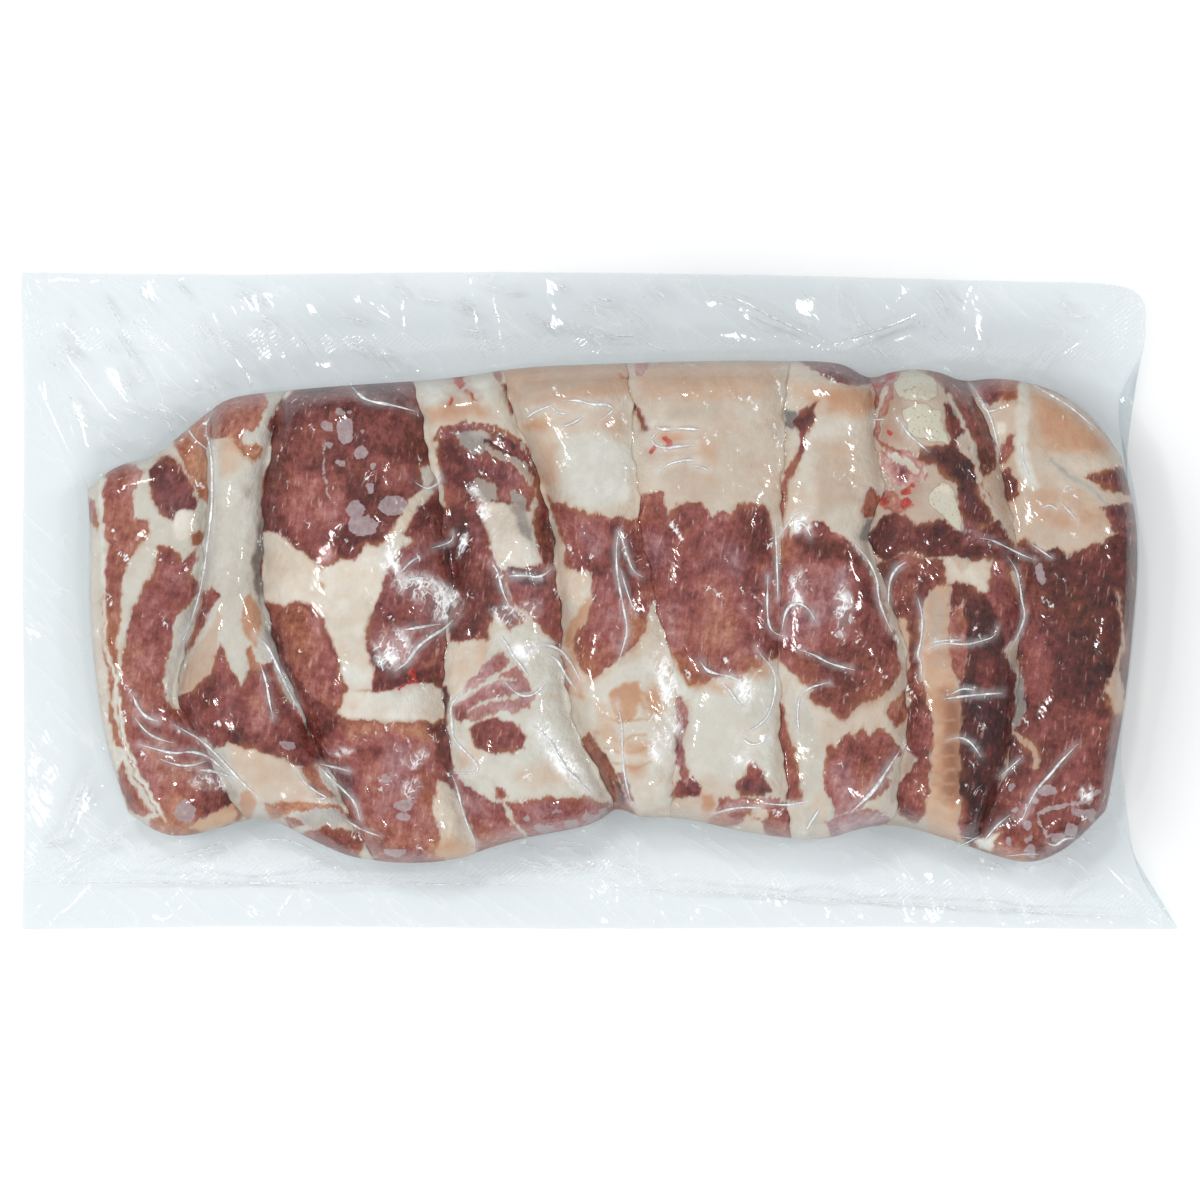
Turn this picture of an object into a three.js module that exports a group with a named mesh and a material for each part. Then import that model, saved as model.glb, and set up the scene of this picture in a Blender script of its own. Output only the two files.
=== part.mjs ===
// A vacuum pack of frozen pork ribs that lies flat: nine rib chops pressed side by side in a clear bag.
// The two films cling to the meat all over and meet in a thin sealed border, so the shut pack is one solid:
// a body with a rounded ridge for each chop, a valley where two chops touch, and the wrinkled border round it.
// Millimetres, +Z up, +X along the pack. The origin is on the surface it lies on, under the bag's middle.
import * as THREE from "three";

// Driving dimensions
const BAG_LENGTH = 394.6;
const BAG_WIDTH = 225.4;
const FILM = 1; // the border's two films, drawn thick enough for a solid
const BORDER_ROOT = 9; // height at which the films leave the meat
const BORDER_EDGE = 1.1; // height of the border's outer edge
const SHOULDER = 13; // width of the rounded upper edge of the meat
const SHOULDER_POWER = 2.4; // 2 is a quarter round, more is squarer
const HEEL = 9; // width of the rounded lower edge
const ARCH = { squareness: 2.6, fullness: 0.62 }; // a chop's rounded top; 2 and 0.5 is half an ellipse
const OUTER_SPAN = 84; // width of the arch of an outer chop, which has a valley on one side only

// Steps of the mesh
const ACROSS_CHOP = [0, 0.07, 0.19, 0.34, 0.5, 0.66, 0.81, 0.93]; // shares of a chop's width
const STEPS_DEEP = 20; // even steps from the near side to the far one, between the graded ones
const GRADED = [0, 0.5, 1.8, 4.4, 8.5]; // distances from the outline, mm, where the side wall is steep
const MEAT_SPAN = { along: 352, deep: 152 }; // rounded sizes that turn those distances into shares
const BORDER_RINGS = [0.1, 0.32, 0.62, 1]; // shares of the way from the meat to the bag's edge
const OUTLINE_STEPS = 120; // along each side of the meat, to measure distances from it
const HALVINGS = 24; // in the search for the place where a row crosses a valley
const HEEL_RINGS = [
  // inset from the outline, share of the height where the lower films leave it
  [1.2, 0.42],
  [4, 0.1],
  [HEEL, 0],
];

// The meat's outline seen from above, side by side; each side starts where the one before it ends.
const MEAT_TOP = [
  [-173, 37.3], [-162, 46], [-151, 47.5], [-138.3, 58.7], [-126, 67.7], [-112.7, 70], [-85, 72.3],
  [-46.7, 75], [-30, 78], [13.3, 80], [60, 80.7], [82.7, 79.3], [90.7, 74], [99, 77.3],
  [113, 77.3], [122.7, 73.3], [133, 75.2], [153.3, 70.7], [166, 61], [175.3, 48.3],
];
const MEAT_RIGHT = [[175.3, 48.3], [180.7, 23.3], [178.3, -20], [173, -56.7], [170.3, -70.7]];
const MEAT_BOTTOM = [
  [170.3, -70.7], [156.7, -83.7], [145, -89], [131.7, -85.7], [115, -79.7], [96.7, -74.7],
  [73.3, -81], [45, -77.3], [28.3, -73.3], [13.3, -73], [5.3, -69.5], [0, -75],
  [-30, -81], [-50, -88], [-80, -87.7], [-95, -82], [-112.7, -72.7], [-124, -75.7],
  [-144, -80.7], [-159.3, -71.7],
];
const MEAT_LEFT = [[-159.3, -71.7], [-167.7, -43.3], [-172.3, 0], [-172, 18.3], [-173, 37.3]];

// The bag's outline in the same order. The vacuum draws its right side in until it lies against the meat.
const BAG_TOP = [
  [-BAG_LENGTH / 2, BAG_WIDTH / 2], [-120, 111.5], [-40, 112.2], [60, 111], [140, 109], [175, 108],
  [183, 105.5], [185.7, 99],
];
const BAG_RIGHT = [
  [185.7, 99], [185, 86.7], [183, 79.5], [177.5, 76.5], [176, 66.7], [178, 53.3], [182.2, 38],
  [183.4, 23.3], [182.8, 3.3], [181, -20], [178.6, -37.7], [177, -52], [178, -64], [180, -76.7],
  [182, -90], [188, -102], [BAG_LENGTH / 2, -BAG_WIDTH / 2],
];
const BAG_BOTTOM = [
  [BAG_LENGTH / 2, -BAG_WIDTH / 2], [100, -111.8], [0, -112.5], [-100, -111.6],
  [-BAG_LENGTH / 2, -BAG_WIDTH / 2],
];
const BAG_LEFT = [
  [-BAG_LENGTH / 2, -BAG_WIDTH / 2], [-196.5, -60], [-197, 0], [-196.6, 60],
  [-BAG_LENGTH / 2, BAG_WIDTH / 2],
];

// The crest height of each chop from left to right.
const CRESTS = [27, 34, 40, 36, 40, 42, 41, 38.5, 35];

// The valleys between them: the depth under the lower of the two crests, and the line as [y, x] from the
// far edge to the near one. Where two chops froze as one, only a shallow fold shows.
const VALLEYS = [
  {
    depth: 6.5,
    line: [[64, -130.7], [11.7, -132], [-6.7, -136.7], [-33.3, -143], [-56, -128.3], [-73.3, -120]],
  },
  {
    depth: 7,
    line: [[70.7, -105.7], [38, -112], [0, -112.7], [-26.7, -104], [-53.3, -91.7], [-86.7, -76]],
  },
  {
    depth: 6,
    line: [[74.7, -62.7], [43.3, -55.3], [3, -48], [-21.7, -53], [-58.3, -49.3], [-83.3, -40.7]],
  },
  {
    depth: 7,
    line: [
      [77.7, -33.3], [56.7, -26.7], [33.3, -17], [-6.7, -12.7], [-33.3, -11.7], [-53.3, -2.7], [-70.7, 6],
    ],
  },
  {
    depth: 3.5,
    line: [[80, 9.3], [26.7, 12.7], [0, 18.3], [-26.7, 25.3], [-46.7, 26.3], [-73.3, 22.7]],
  },
  {
    depth: 4,
    line: [[80.7, 62.3], [50, 60.3], [-20, 58.7], [-53.3, 60], [-80, 64]],
  },
  {
    depth: 6,
    line: [
      [74, 90.7], [50, 90.7], [36.7, 94.7], [20, 87.3], [-3.3, 97.7], [-16.7, 101.7], [-43.3, 101.7],
      [-75, 97],
    ],
  },
  {
    depth: 6,
    line: [[73.3, 122.7], [50, 132], [23.3, 137.3], [10, 139.7], [-36.7, 138.3], [-60, 134.3], [-81.7, 124]],
  },
];

// Bumps and dents of single chops: the middle, the radii along X and Y, and the rise.
const SWELLS = [
  { x: -38, y: 33, rx: 17, ry: 20, rise: -9 }, // hollow behind the fourth chop's edge
  { x: -29, y: 19, rx: 10, ry: 9, rise: 6 }, // knob of fat in it
  { x: -85, y: 38, rx: 20, ry: 24, rise: 3.5 }, // round eye of the third chop
  { x: -69, y: -8, rx: 15, ry: 15, rise: 3 },
  { x: -67, y: -62, rx: 17, ry: 15, rise: -4 },
  { x: -28, y: -48, rx: 17, ry: 16, rise: 3 },
  { x: 105, y: 62, rx: 12, ry: 17, rise: 4 }, // cut backbone of the eighth chop
  { x: 118, y: 5, rx: 13, ry: 16, rise: -4.5 },
  { x: 158, y: -15, rx: 18, ry: 38, rise: 2.5 },
  { x: 158, y: 60, rx: 16, ry: 12, rise: -3 },
  { x: -155, y: 30, rx: 14, ry: 16, rise: -3 },
  { x: -138, y: -64, rx: 12, ry: 9, rise: 4 },
];

// Slow rise and fall of the whole surface: wavelengths along X and Y, phase and height.
const ROLLS = [
  { along: 61, across: 47, phase: 0.6, rise: 0.9 },
  { along: 27, across: 38, phase: 2.1, rise: 0.6 },
];

// The flat border: how fast it drops from the meat, its wrinkles, and the roll of loose film on its far side.
const DROP_POWER = 2.2;
const WRINKLES = [
  // waves once round the pack, their phase and height
  { waves: 31, phase: 0, rise: 0.9 },
  { waves: 47, phase: 1, rise: 0.7 },
];
const EDGE_PLAY = 0.5; // share of the wrinkles that is left at the bag's edge
const ROLL = { y: 100, width: 7, rise: 3.2, sway: 0.4, along: 145 };

const clamp = THREE.MathUtils.clamp;
const lerp = THREE.MathUtils.lerp;

// A side of an outline as a smooth curve.
function sideCurve(points) {
  const vectors = points.map(([x, y]) => new THREE.Vector3(x, y, 0));
  return new THREE.CatmullRomCurve3(vectors, false, "centripetal");
}

// An outline whose inside, or edge, is reached by two shares: u from left to right and v from near to far.
class Outline {
  constructor(top, right, bottom, left) {
    this.top = sideCurve(top);
    this.right = sideCurve(right);
    this.bottom = sideCurve(bottom);
    this.left = sideCurve(left);
    const corners = [bottom.at(-1), bottom[0], top[0], top.at(-1)];
    this.corners = corners.map(([x, y]) => new THREE.Vector3(x, y, 0));
  }

  at(u, v) {
    const shares = [(1 - u) * (1 - v), u * (1 - v), (1 - u) * v, u * v];
    const point = new THREE.Vector3()
      .addScaledVector(this.bottom.getPointAt(1 - u), 1 - v)
      .addScaledVector(this.top.getPointAt(u), v)
      .addScaledVector(this.left.getPointAt(v), 1 - u)
      .addScaledVector(this.right.getPointAt(1 - v), u);
    this.corners.forEach((corner, i) => point.addScaledVector(corner, -shares[i]));
    return point;
  }
}

const meat = new Outline(MEAT_TOP, MEAT_RIGHT, MEAT_BOTTOM, MEAT_LEFT);
const bag = new Outline(BAG_TOP, BAG_RIGHT, BAG_BOTTOM, BAG_LEFT);

// The meat's outline as a fine ring, to measure how far a point lies inside it.
const MEAT_RING = [meat.top, meat.right, meat.bottom, meat.left].flatMap((side) =>
  side.getSpacedPoints(OUTLINE_STEPS).slice(0, -1),
);

function insideBy(point) {
  let nearest = Infinity;
  for (let i = 0; i < MEAT_RING.length; i++) {
    const a = MEAT_RING[i];
    const b = MEAT_RING[(i + 1) % MEAT_RING.length];
    const span = b.clone().sub(a);
    const share = clamp(point.clone().sub(a).dot(span) / span.lengthSq(), 0, 1);
    nearest = Math.min(nearest, point.distanceTo(a.clone().addScaledVector(span, share)));
  }
  return nearest;
}

// The x of a valley at a y.
function valleyAt({ line }, y) {
  for (let i = 1; i < line.length; i++) {
    const [y0, x0] = line[i - 1];
    const [y1, x1] = line[i];
    if (y >= y1) return lerp(x0, x1, clamp((y0 - y) / (y0 - y1), 0, 1));
  }
  return line.at(-1)[1];
}

// The height of the chops' tops, before the rounded outer edge.
function crestHeight(x, y) {
  const chop = VALLEYS.filter((valley) => x > valleyAt(valley, y)).length;
  const crest = CRESTS[chop];
  const left = VALLEYS[chop - 1];
  const right = VALLEYS[chop];
  const from = left ? valleyAt(left, y) : valleyAt(right, y) - OUTER_SPAN;
  const to = right ? valleyAt(right, y) : valleyAt(left, y) + OUTER_SPAN;
  const leftFloor = left ? Math.min(crest, CRESTS[chop - 1]) - left.depth : crest;
  const rightFloor = right ? Math.min(crest, CRESTS[chop + 1]) - right.depth : crest;
  const u = clamp((x - from) / (to - from), 0, 1);
  const floor = lerp(leftFloor, rightFloor, u);
  const arch = Math.pow(1 - Math.pow(Math.abs(2 * u - 1), ARCH.squareness), ARCH.fullness);
  let z = floor + (crest - floor) * arch;
  for (const { x: cx, y: cy, rx, ry, rise } of SWELLS) {
    z += rise * Math.exp(-(((x - cx) / rx) ** 2) - ((y - cy) / ry) ** 2);
  }
  for (const { along, across, phase, rise } of ROLLS) {
    z += rise * Math.sin((2 * Math.PI * x) / along + phase) * Math.cos((2 * Math.PI * y) / across + phase);
  }
  return z;
}

// The upper film over the meat.
function meatTop(point) {
  const share = clamp(insideBy(point) / SHOULDER, 0, 1);
  const shoulder = Math.pow(1 - Math.pow(1 - share, SHOULDER_POWER), 1 / SHOULDER_POWER);
  return lerp(BORDER_ROOT, crestHeight(point.x, point.y), shoulder);
}

// The middle of the border's films: down from the meat to the edge, with wrinkles that run outwards
// and one long roll along the far side, where the bag was filled. The turn is a share of the way round.
function borderHeight(point, out, turn) {
  const fall = lerp(BORDER_ROOT - FILM / 2, BORDER_EDGE, 1 - (1 - out) ** DROP_POWER);
  const free = Math.sin(Math.PI * out) + EDGE_PLAY * out;
  let lift = 0;
  for (const { waves, phase, rise } of WRINKLES) {
    lift += rise * Math.sin(2 * Math.PI * turn * waves + phase);
  }
  const swell = 1 - ROLL.sway + ROLL.sway * Math.sin((2 * Math.PI * point.x) / ROLL.along);
  lift += ROLL.rise * swell * Math.exp(-(((point.y - ROLL.y) / ROLL.width) ** 2));
  return Math.max(fall + free * lift, BORDER_EDGE - FILM / 2);
}

// Distances from an edge as shares of the width.
const nearEdge = (width) => GRADED.map((distance) => distance / width);

// The rows from the near side to the far one: graded at both ends and even between them.
function rowShares() {
  const near = nearEdge(MEAT_SPAN.deep);
  const start = near.at(-1);
  const even = Array.from({ length: STEPS_DEEP - 1 }, (_, i) => lerp(start, 1 - start, (i + 1) / STEPS_DEEP));
  return [...near, ...even, ...near.map((share) => 1 - share).reverse()];
}

// The share along a row where it crosses a valley.
function crossing(valley, v) {
  let [low, high] = [0, 1];
  for (let halving = 0; halving < HALVINGS; halving++) {
    const u = (low + high) / 2;
    const point = meat.at(u, v);
    if (point.x < valleyAt(valley, point.y)) low = u;
    else high = u;
  }
  return low;
}

// The columns of a row, which follow the valleys, so that each chop has the same number of them.
function columnShares(v) {
  const near = nearEdge(MEAT_SPAN.along);
  const edges = [near.at(-1), ...VALLEYS.map((valley) => crossing(valley, v)), 1 - near.at(-1)];
  const chops = CRESTS.flatMap((_, chop) =>
    ACROSS_CHOP.map((share) => lerp(edges[chop], edges[chop + 1], share)),
  );
  return [...near.slice(0, -1), ...chops, ...near.map((share) => 1 - share).reverse()];
}

function packGeometry() {
  const positions = [];
  const triangles = [];
  const vertex = (x, y, z) => positions.push(x, y, z) / 3 - 1;
  const quad = (a, b, c, d) => triangles.push(a, b, c, a, c, d);

  // The meat's top as a grid of rows that follow the outline.
  const rows = rowShares().map((v) => columnShares(v).map((u) => ({ u, v })));
  const grid = rows.map((row) =>
    row.map(({ u, v }) => {
      const point = meat.at(u, v);
      return vertex(point.x, point.y, meatTop(point));
    }),
  );
  const lastRow = rows.length - 1;
  const lastColumn = rows[0].length - 1;
  for (let j = 1; j <= lastRow; j++) {
    for (let i = 1; i <= lastColumn; i++) {
      quad(grid[j - 1][i - 1], grid[j - 1][i], grid[j][i], grid[j][i - 1]);
    }
  }

  // Once round the outline: far side, right, near side, left.
  const steps = (length) => Array.from({ length }, (_, step) => step);
  const round = [
    ...steps(lastColumn).map((i) => [lastRow, i]),
    ...steps(lastRow).map((j) => [lastRow - j, lastColumn]),
    ...steps(lastColumn).map((i) => [0, lastColumn - i]),
    ...steps(lastRow).map((j) => [j, 0]),
  ];
  const count = round.length;
  const ringOf = (place) =>
    round.map(([j, i], p) => {
      const { u, v } = rows[j][i];
      return vertex(...place(u, v, p / count));
    });
  const join = (inner, outer, faceUp) => {
    for (let p = 0; p < count; p++) {
      const q = (p + 1) % count;
      if (faceUp) quad(inner[p], inner[q], outer[q], outer[p]);
      else quad(inner[q], inner[p], outer[p], outer[q]);
    }
  };

  // The border's upper and lower face, from the meat outwards.
  const borderPoint = (u, v, turn, out, side) => {
    const point = meat.at(u, v).lerp(bag.at(u, v), out);
    return [point.x, point.y, borderHeight(point, out, turn) + (side * FILM) / 2];
  };
  let upper = round.map(([j, i]) => grid[j][i]);
  let lower = ringOf((u, v) => {
    const point = meat.at(u, v);
    return [point.x, point.y, BORDER_ROOT - FILM];
  });
  const lowerRoot = lower;
  for (const out of BORDER_RINGS) {
    const nextUpper = ringOf((u, v, turn) => borderPoint(u, v, turn, out, 1));
    const nextLower = ringOf((u, v, turn) => borderPoint(u, v, turn, out, -1));
    join(upper, nextUpper, true);
    join(lower, nextLower, false);
    upper = nextUpper;
    lower = nextLower;
  }
  for (let p = 0; p < count; p++) {
    const q = (p + 1) % count;
    quad(upper[p], upper[q], lower[q], lower[p]);
  }

  // The rounded lower edge of the meat, and the flat that the pack lies on.
  let outer = lowerRoot;
  for (const [inset, share] of HEEL_RINGS) {
    const du = inset / MEAT_SPAN.along;
    const dv = inset / MEAT_SPAN.deep;
    const inner = ringOf((u, v) => {
      const point = meat.at(lerp(du, 1 - du, u), lerp(dv, 1 - dv, v));
      return [point.x, point.y, (BORDER_ROOT - FILM) * share];
    });
    join(inner, outer, false);
    outer = inner;
  }
  const flat = outer.map((i) => new THREE.Vector2(positions[3 * i], positions[3 * i + 1]));
  for (const [a, b, c] of THREE.ShapeUtils.triangulateShape(flat, [])) {
    const upwards = flat[b].clone().sub(flat[a]).cross(flat[c].clone().sub(flat[a])) > 0;
    triangles.push(outer[a], outer[upwards ? c : b], outer[upwards ? b : c]);
  }

  const geometry = new THREE.BufferGeometry();
  geometry.setAttribute("position", new THREE.Float32BufferAttribute(positions, 3));
  geometry.setIndex(triangles);
  geometry.computeVertexNormals();
  return geometry;
}

const ribsInFilm = new THREE.MeshStandardMaterial({ color: "#a8766a", roughness: 0.25, metalness: 0 });

const sealedPack = new THREE.Mesh(packGeometry(), ribsInFilm);
sealedPack.name = "sealed_pack";

const pack = new THREE.Group();
pack.add(sealedPack);

export default pack;
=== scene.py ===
# A vacuum pack of frozen pork ribs, seen from straight above: nine rib chops pressed side by side, clear film
# sucked tight around them, and the bag's wide seals. Metres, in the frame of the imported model.
import math
import random
from typing import NamedTuple

import bmesh
import bpy
import numpy as np
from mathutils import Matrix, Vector
from mathutils.bvhtree import BVHTree


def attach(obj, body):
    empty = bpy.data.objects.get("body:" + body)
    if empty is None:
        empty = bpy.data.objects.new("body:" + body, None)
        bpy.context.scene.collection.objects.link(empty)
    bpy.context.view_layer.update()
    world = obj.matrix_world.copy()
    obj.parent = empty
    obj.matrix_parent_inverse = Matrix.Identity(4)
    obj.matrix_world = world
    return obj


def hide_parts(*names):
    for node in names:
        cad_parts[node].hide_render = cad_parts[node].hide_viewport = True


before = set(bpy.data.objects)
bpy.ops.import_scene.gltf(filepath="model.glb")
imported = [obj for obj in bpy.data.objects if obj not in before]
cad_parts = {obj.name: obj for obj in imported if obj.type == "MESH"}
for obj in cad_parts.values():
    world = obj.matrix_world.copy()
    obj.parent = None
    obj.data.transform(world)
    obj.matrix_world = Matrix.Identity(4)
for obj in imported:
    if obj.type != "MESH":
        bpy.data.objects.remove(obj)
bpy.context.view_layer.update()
MM = 0.001

# ---------------------------------------------------------------------------------------------------------
# The camera hangs over the middle of the pack and looks straight down, as the photograph was taken.
# Places on the pack are named by the photograph's pixels, and a pixel is a third of a millimetre on the meat.
IMAGE_PX = 1200
MIDDLE_PX = IMAGE_PX / 2
PIXEL = MM / 3
FOCUS_HEIGHT = 25 * MM
LENS = 100
SENSOR = 36
EYE_HEIGHT = FOCUS_HEIGHT + IMAGE_PX * PIXEL * LENS / SENSOR

camera_data = bpy.data.cameras.new("camera")
camera_data.lens = LENS
camera_data.sensor_width = SENSOR
camera = bpy.data.objects.new("camera", camera_data)
camera.location = (0, 0, EYE_HEIGHT)
bpy.context.scene.collection.objects.link(camera)
bpy.context.scene.camera = camera


def pixels_of(x, y, z):
    """Where points show in the photograph."""
    metres_per_pixel = PIXEL * (EYE_HEIGHT - z) / (EYE_HEIGHT - FOCUS_HEIGHT)
    return MIDDLE_PX + x / metres_per_pixel, MIDDLE_PX - y / metres_per_pixel


def place(px, py, z=FOCUS_HEIGHT):
    """The point at a height that shows at a pixel."""
    metres_per_pixel = PIXEL * (EYE_HEIGHT - z) / (EYE_HEIGHT - FOCUS_HEIGHT)
    return (px - MIDDLE_PX) * metres_per_pixel, (MIDDLE_PX - py) * metres_per_pixel


# ---------------------------------------------------------------------------------------------------------
# The shut pack's form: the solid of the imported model, smoothed, which the bag follows and the chops fill.
# The outline of the meat and the seams between chops are lines on it, seen from above, in millimetres.
FAR_EDGE = [
    (-173, 37.3), (-162, 46), (-151, 47.5), (-138.3, 58.7), (-126, 67.7), (-112.7, 70), (-85, 72.3),
    (-46.7, 75), (-30, 78), (13.3, 80), (60, 80.7), (82.7, 79.3), (90.7, 74), (99, 77.3),
    (113, 77.3), (122.7, 73.3), (133, 75.2), (153.3, 70.7), (166, 61), (175.3, 48.3),
]
NEAR_EDGE = [
    (-159.3, -71.7), (-144, -80.7), (-124, -75.7), (-112.7, -72.7), (-95, -82), (-80, -87.7),
    (-50, -88), (-30, -81), (0, -75), (5.3, -69.5), (13.3, -73), (28.3, -73.3),
    (45, -77.3), (73.3, -81), (96.7, -74.7), (115, -79.7), (131.7, -85.7), (145, -89),
    (156.7, -83.7), (170.3, -70.7),
]
SEAMS = [
    [(-159.3, -71.7), (-167.7, -43.3), (-172.3, 0), (-172, 18.3), (-173, 37.3)],
    [(-120, -73.3), (-128.3, -56), (-143, -33.3), (-136.7, -6.7), (-132, 11.7), (-130.7, 64)],
    [(-76, -86.7), (-91.7, -53.3), (-104, -26.7), (-112.7, 0), (-112, 38), (-105.7, 70.7)],
    [(-40.7, -83.3), (-49.3, -58.3), (-53, -21.7), (-48, 3), (-55.3, 43.3), (-62.7, 74.7)],
    [(6, -70.7), (-2.7, -53.3), (-11.7, -33.3), (-12.7, -6.7), (-17, 33.3), (-26.7, 56.7), (-33.3, 77.7)],
    [(22.7, -73.3), (26.3, -46.7), (25.3, -26.7), (18.3, 0), (12.7, 26.7), (9.3, 80)],
    [(64, -80), (60, -53.3), (58.7, -20), (60.3, 50), (62.3, 80.7)],
    [(97, -75), (101.7, -43.3), (101.7, -16.7), (97.7, -3.3), (87.3, 20), (94.7, 36.7), (90.7, 50),
     (90.7, 74)],
    [(124, -81.7), (134.3, -60), (138.3, -36.7), (139.7, 10), (137.3, 23.3), (132, 50), (122.7, 73.3)],
    [(170.3, -70.7), (173, -56.7), (178.3, -20), (180.7, 23.3), (175.3, 48.3)],
]


def rounded(points, rounds=3):
    """A line with its corners cut, in metres."""
    line = np.array(points, float) * MM
    for _ in range(rounds):
        quarter = 0.75 * line[:-1] + 0.25 * line[1:]
        three = 0.25 * line[:-1] + 0.75 * line[1:]
        cut = np.stack([quarter, three], axis=1).reshape(-1, 2)
        line = np.vstack([line[:1], cut[1:-1], line[-1:]])
    return line


def wavy(line, turn):
    """A seam with the small bends of cut meat."""
    y = np.linspace(line[0, 1], line[-1, 1], 180)
    x = np.interp(y, line[:, 1], line[:, 0])
    x += 0.5 * MM * np.sin(y / (4.3 * MM) + 3 * turn) + 0.35 * MM * np.sin(y / (1.7 * MM) + 5 * turn)
    x += 0.15 * MM * np.sin(y / (0.8 * MM) + 7 * turn)
    return np.stack([x, y], axis=1)


far_line, near_line = rounded(FAR_EDGE), rounded(NEAR_EDGE)
seam_lines = [rounded(seam) for seam in SEAMS]
seam_lines[1:-1] = [wavy(line, turn) for turn, line in enumerate(seam_lines[1:-1])]
meat_outline = np.vstack([far_line, seam_lines[-1][::-1], near_line[::-1], seam_lines[0]])


def inside_by(points, x, y, closed=True):
    """How far points lie inside an outline, less than 0 outside it, or minus the distance to a line."""
    ends = np.roll(points, -1, axis=0) if closed else points[1:]
    nearest = np.full(x.shape, np.inf)
    within = np.zeros(x.shape, bool)
    for (x0, y0), (x1, y1) in zip(points, ends):
        dx, dy = x1 - x0, y1 - y0
        length = dx * dx + dy * dy
        if length == 0:
            continue
        share = np.clip(((x - x0) * dx + (y - y0) * dy) / length, 0, 1)
        nearest = np.minimum(nearest, np.hypot(x - x0 - share * dx, y - y0 - share * dy))
        if closed and dy != 0:
            within ^= ((y0 > y) != (y1 > y)) & (x < x0 + dx * (y - y0) / dy)
    return np.where(within, nearest, -nearest)


def smooth_form(levels):
    """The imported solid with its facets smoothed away."""
    shell = bmesh.new()
    shell.from_mesh(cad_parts["sealed_pack"].data)
    bmesh.ops.remove_doubles(shell, verts=shell.verts, dist=0.001 * MM)
    bmesh.ops.join_triangles(shell, faces=shell.faces, angle_face_threshold=math.pi, angle_shape_threshold=math.pi)
    mesh = bpy.data.meshes.new("form")
    shell.to_mesh(mesh)
    shell.free()
    rough = bpy.data.objects.new("form", mesh)
    bpy.context.scene.collection.objects.link(rough)
    finer = rough.modifiers.new("finer", "SUBSURF")
    finer.levels = finer.render_levels = levels
    smooth = bpy.data.meshes.new_from_object(rough.evaluated_get(bpy.context.evaluated_depsgraph_get()))
    bpy.data.objects.remove(rough)
    return smooth


form = smooth_form(levels=2)
form_shell = bmesh.new()
form_shell.from_mesh(form)
form_tree = BVHTree.FromBMesh(form_shell)
form_shell.free()


def heights(x, y, upwards):
    """The form's upper or lower surface at each place."""
    start, way = (-1, 1) if upwards else (1, -1)
    found = np.zeros(x.shape)
    for i, (px, py) in enumerate(zip(x, y)):
        hit = form_tree.ray_cast(Vector((px, py, start)), Vector((0, 0, way)))[0]
        found[i] = hit.z if hit else 0
    return found


# ---------------------------------------------------------------------------------------------------------
# The finish of the chops: frozen pork, cut across. Lean with its fibres and a brown fringe where it meets fat,
# fat from grey-white to peach, sawn bone, blood, and frost that lies in thin flat patches under the film.
def linear(hexcode):
    """A colour as the shaders take it."""
    channels = [int(hexcode[i : i + 2], 16) / 255 for i in (1, 3, 5)]
    return tuple(c / 12.92 if c <= 0.04045 else ((c + 0.055) / 1.055) ** 2.4 for c in channels) + (1,)


def add(tree, kind, inputs=None, **settings):
    """A shader node with its inputs linked or set."""
    made = tree.nodes.new(kind)
    for key, value in settings.items():
        setattr(made, key, value)
    for key, value in (inputs or {}).items():
        if isinstance(value, bpy.types.NodeSocket):
            tree.links.new(value, made.inputs[key])
        else:
            made.inputs[key].default_value = value
    return made


def blended(tree, share, first, second):
    """Two colours mixed by a share."""
    made = add(tree, "ShaderNodeMix", {0: share}, data_type="RGBA")
    for socket, value in ((made.inputs[6], first), (made.inputs[7], second)):
        if isinstance(value, bpy.types.NodeSocket):
            tree.links.new(value, socket)
        else:
            socket.default_value = value
    return made.outputs[2]


def ramp(tree, value, stops):
    """Colours along a value from -1 to 1."""
    made = add(tree, "ShaderNodeValToRGB", {0: ranged(tree, value, -1, 1)})
    elements = made.color_ramp.elements
    while len(elements) < len(stops):
        elements.new(0.5)
    for element, (position, hexcode) in zip(elements, stops):
        element.position = (position + 1) / 2
        element.color = linear(hexcode)
    return made.outputs[0]


def ranged(tree, value, low, high, to_low=0.0, to_high=1.0, kind="LINEAR"):
    """A value's range stretched to another one and held there."""
    inputs = {0: value, 1: low, 2: high, 3: to_low, 4: to_high}
    return add(tree, "ShaderNodeMapRange", inputs, interpolation_type=kind).outputs[0]


def sum_of(tree, *terms):
    """Values times their weights, added up."""
    total = 0.0
    for value, weight in terms:
        inputs = {0: value, 1: weight, 2: total}
        total = add(tree, "ShaderNodeMath", inputs, operation="MULTIPLY_ADD").outputs[0]
    return total


def product(tree, first, second):
    return add(tree, "ShaderNodeMath", {0: first, 1: second}, operation="MULTIPLY").outputs[0]


def attribute(tree, name):
    return add(tree, "ShaderNodeAttribute", attribute_name=name).outputs["Fac"]


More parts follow.
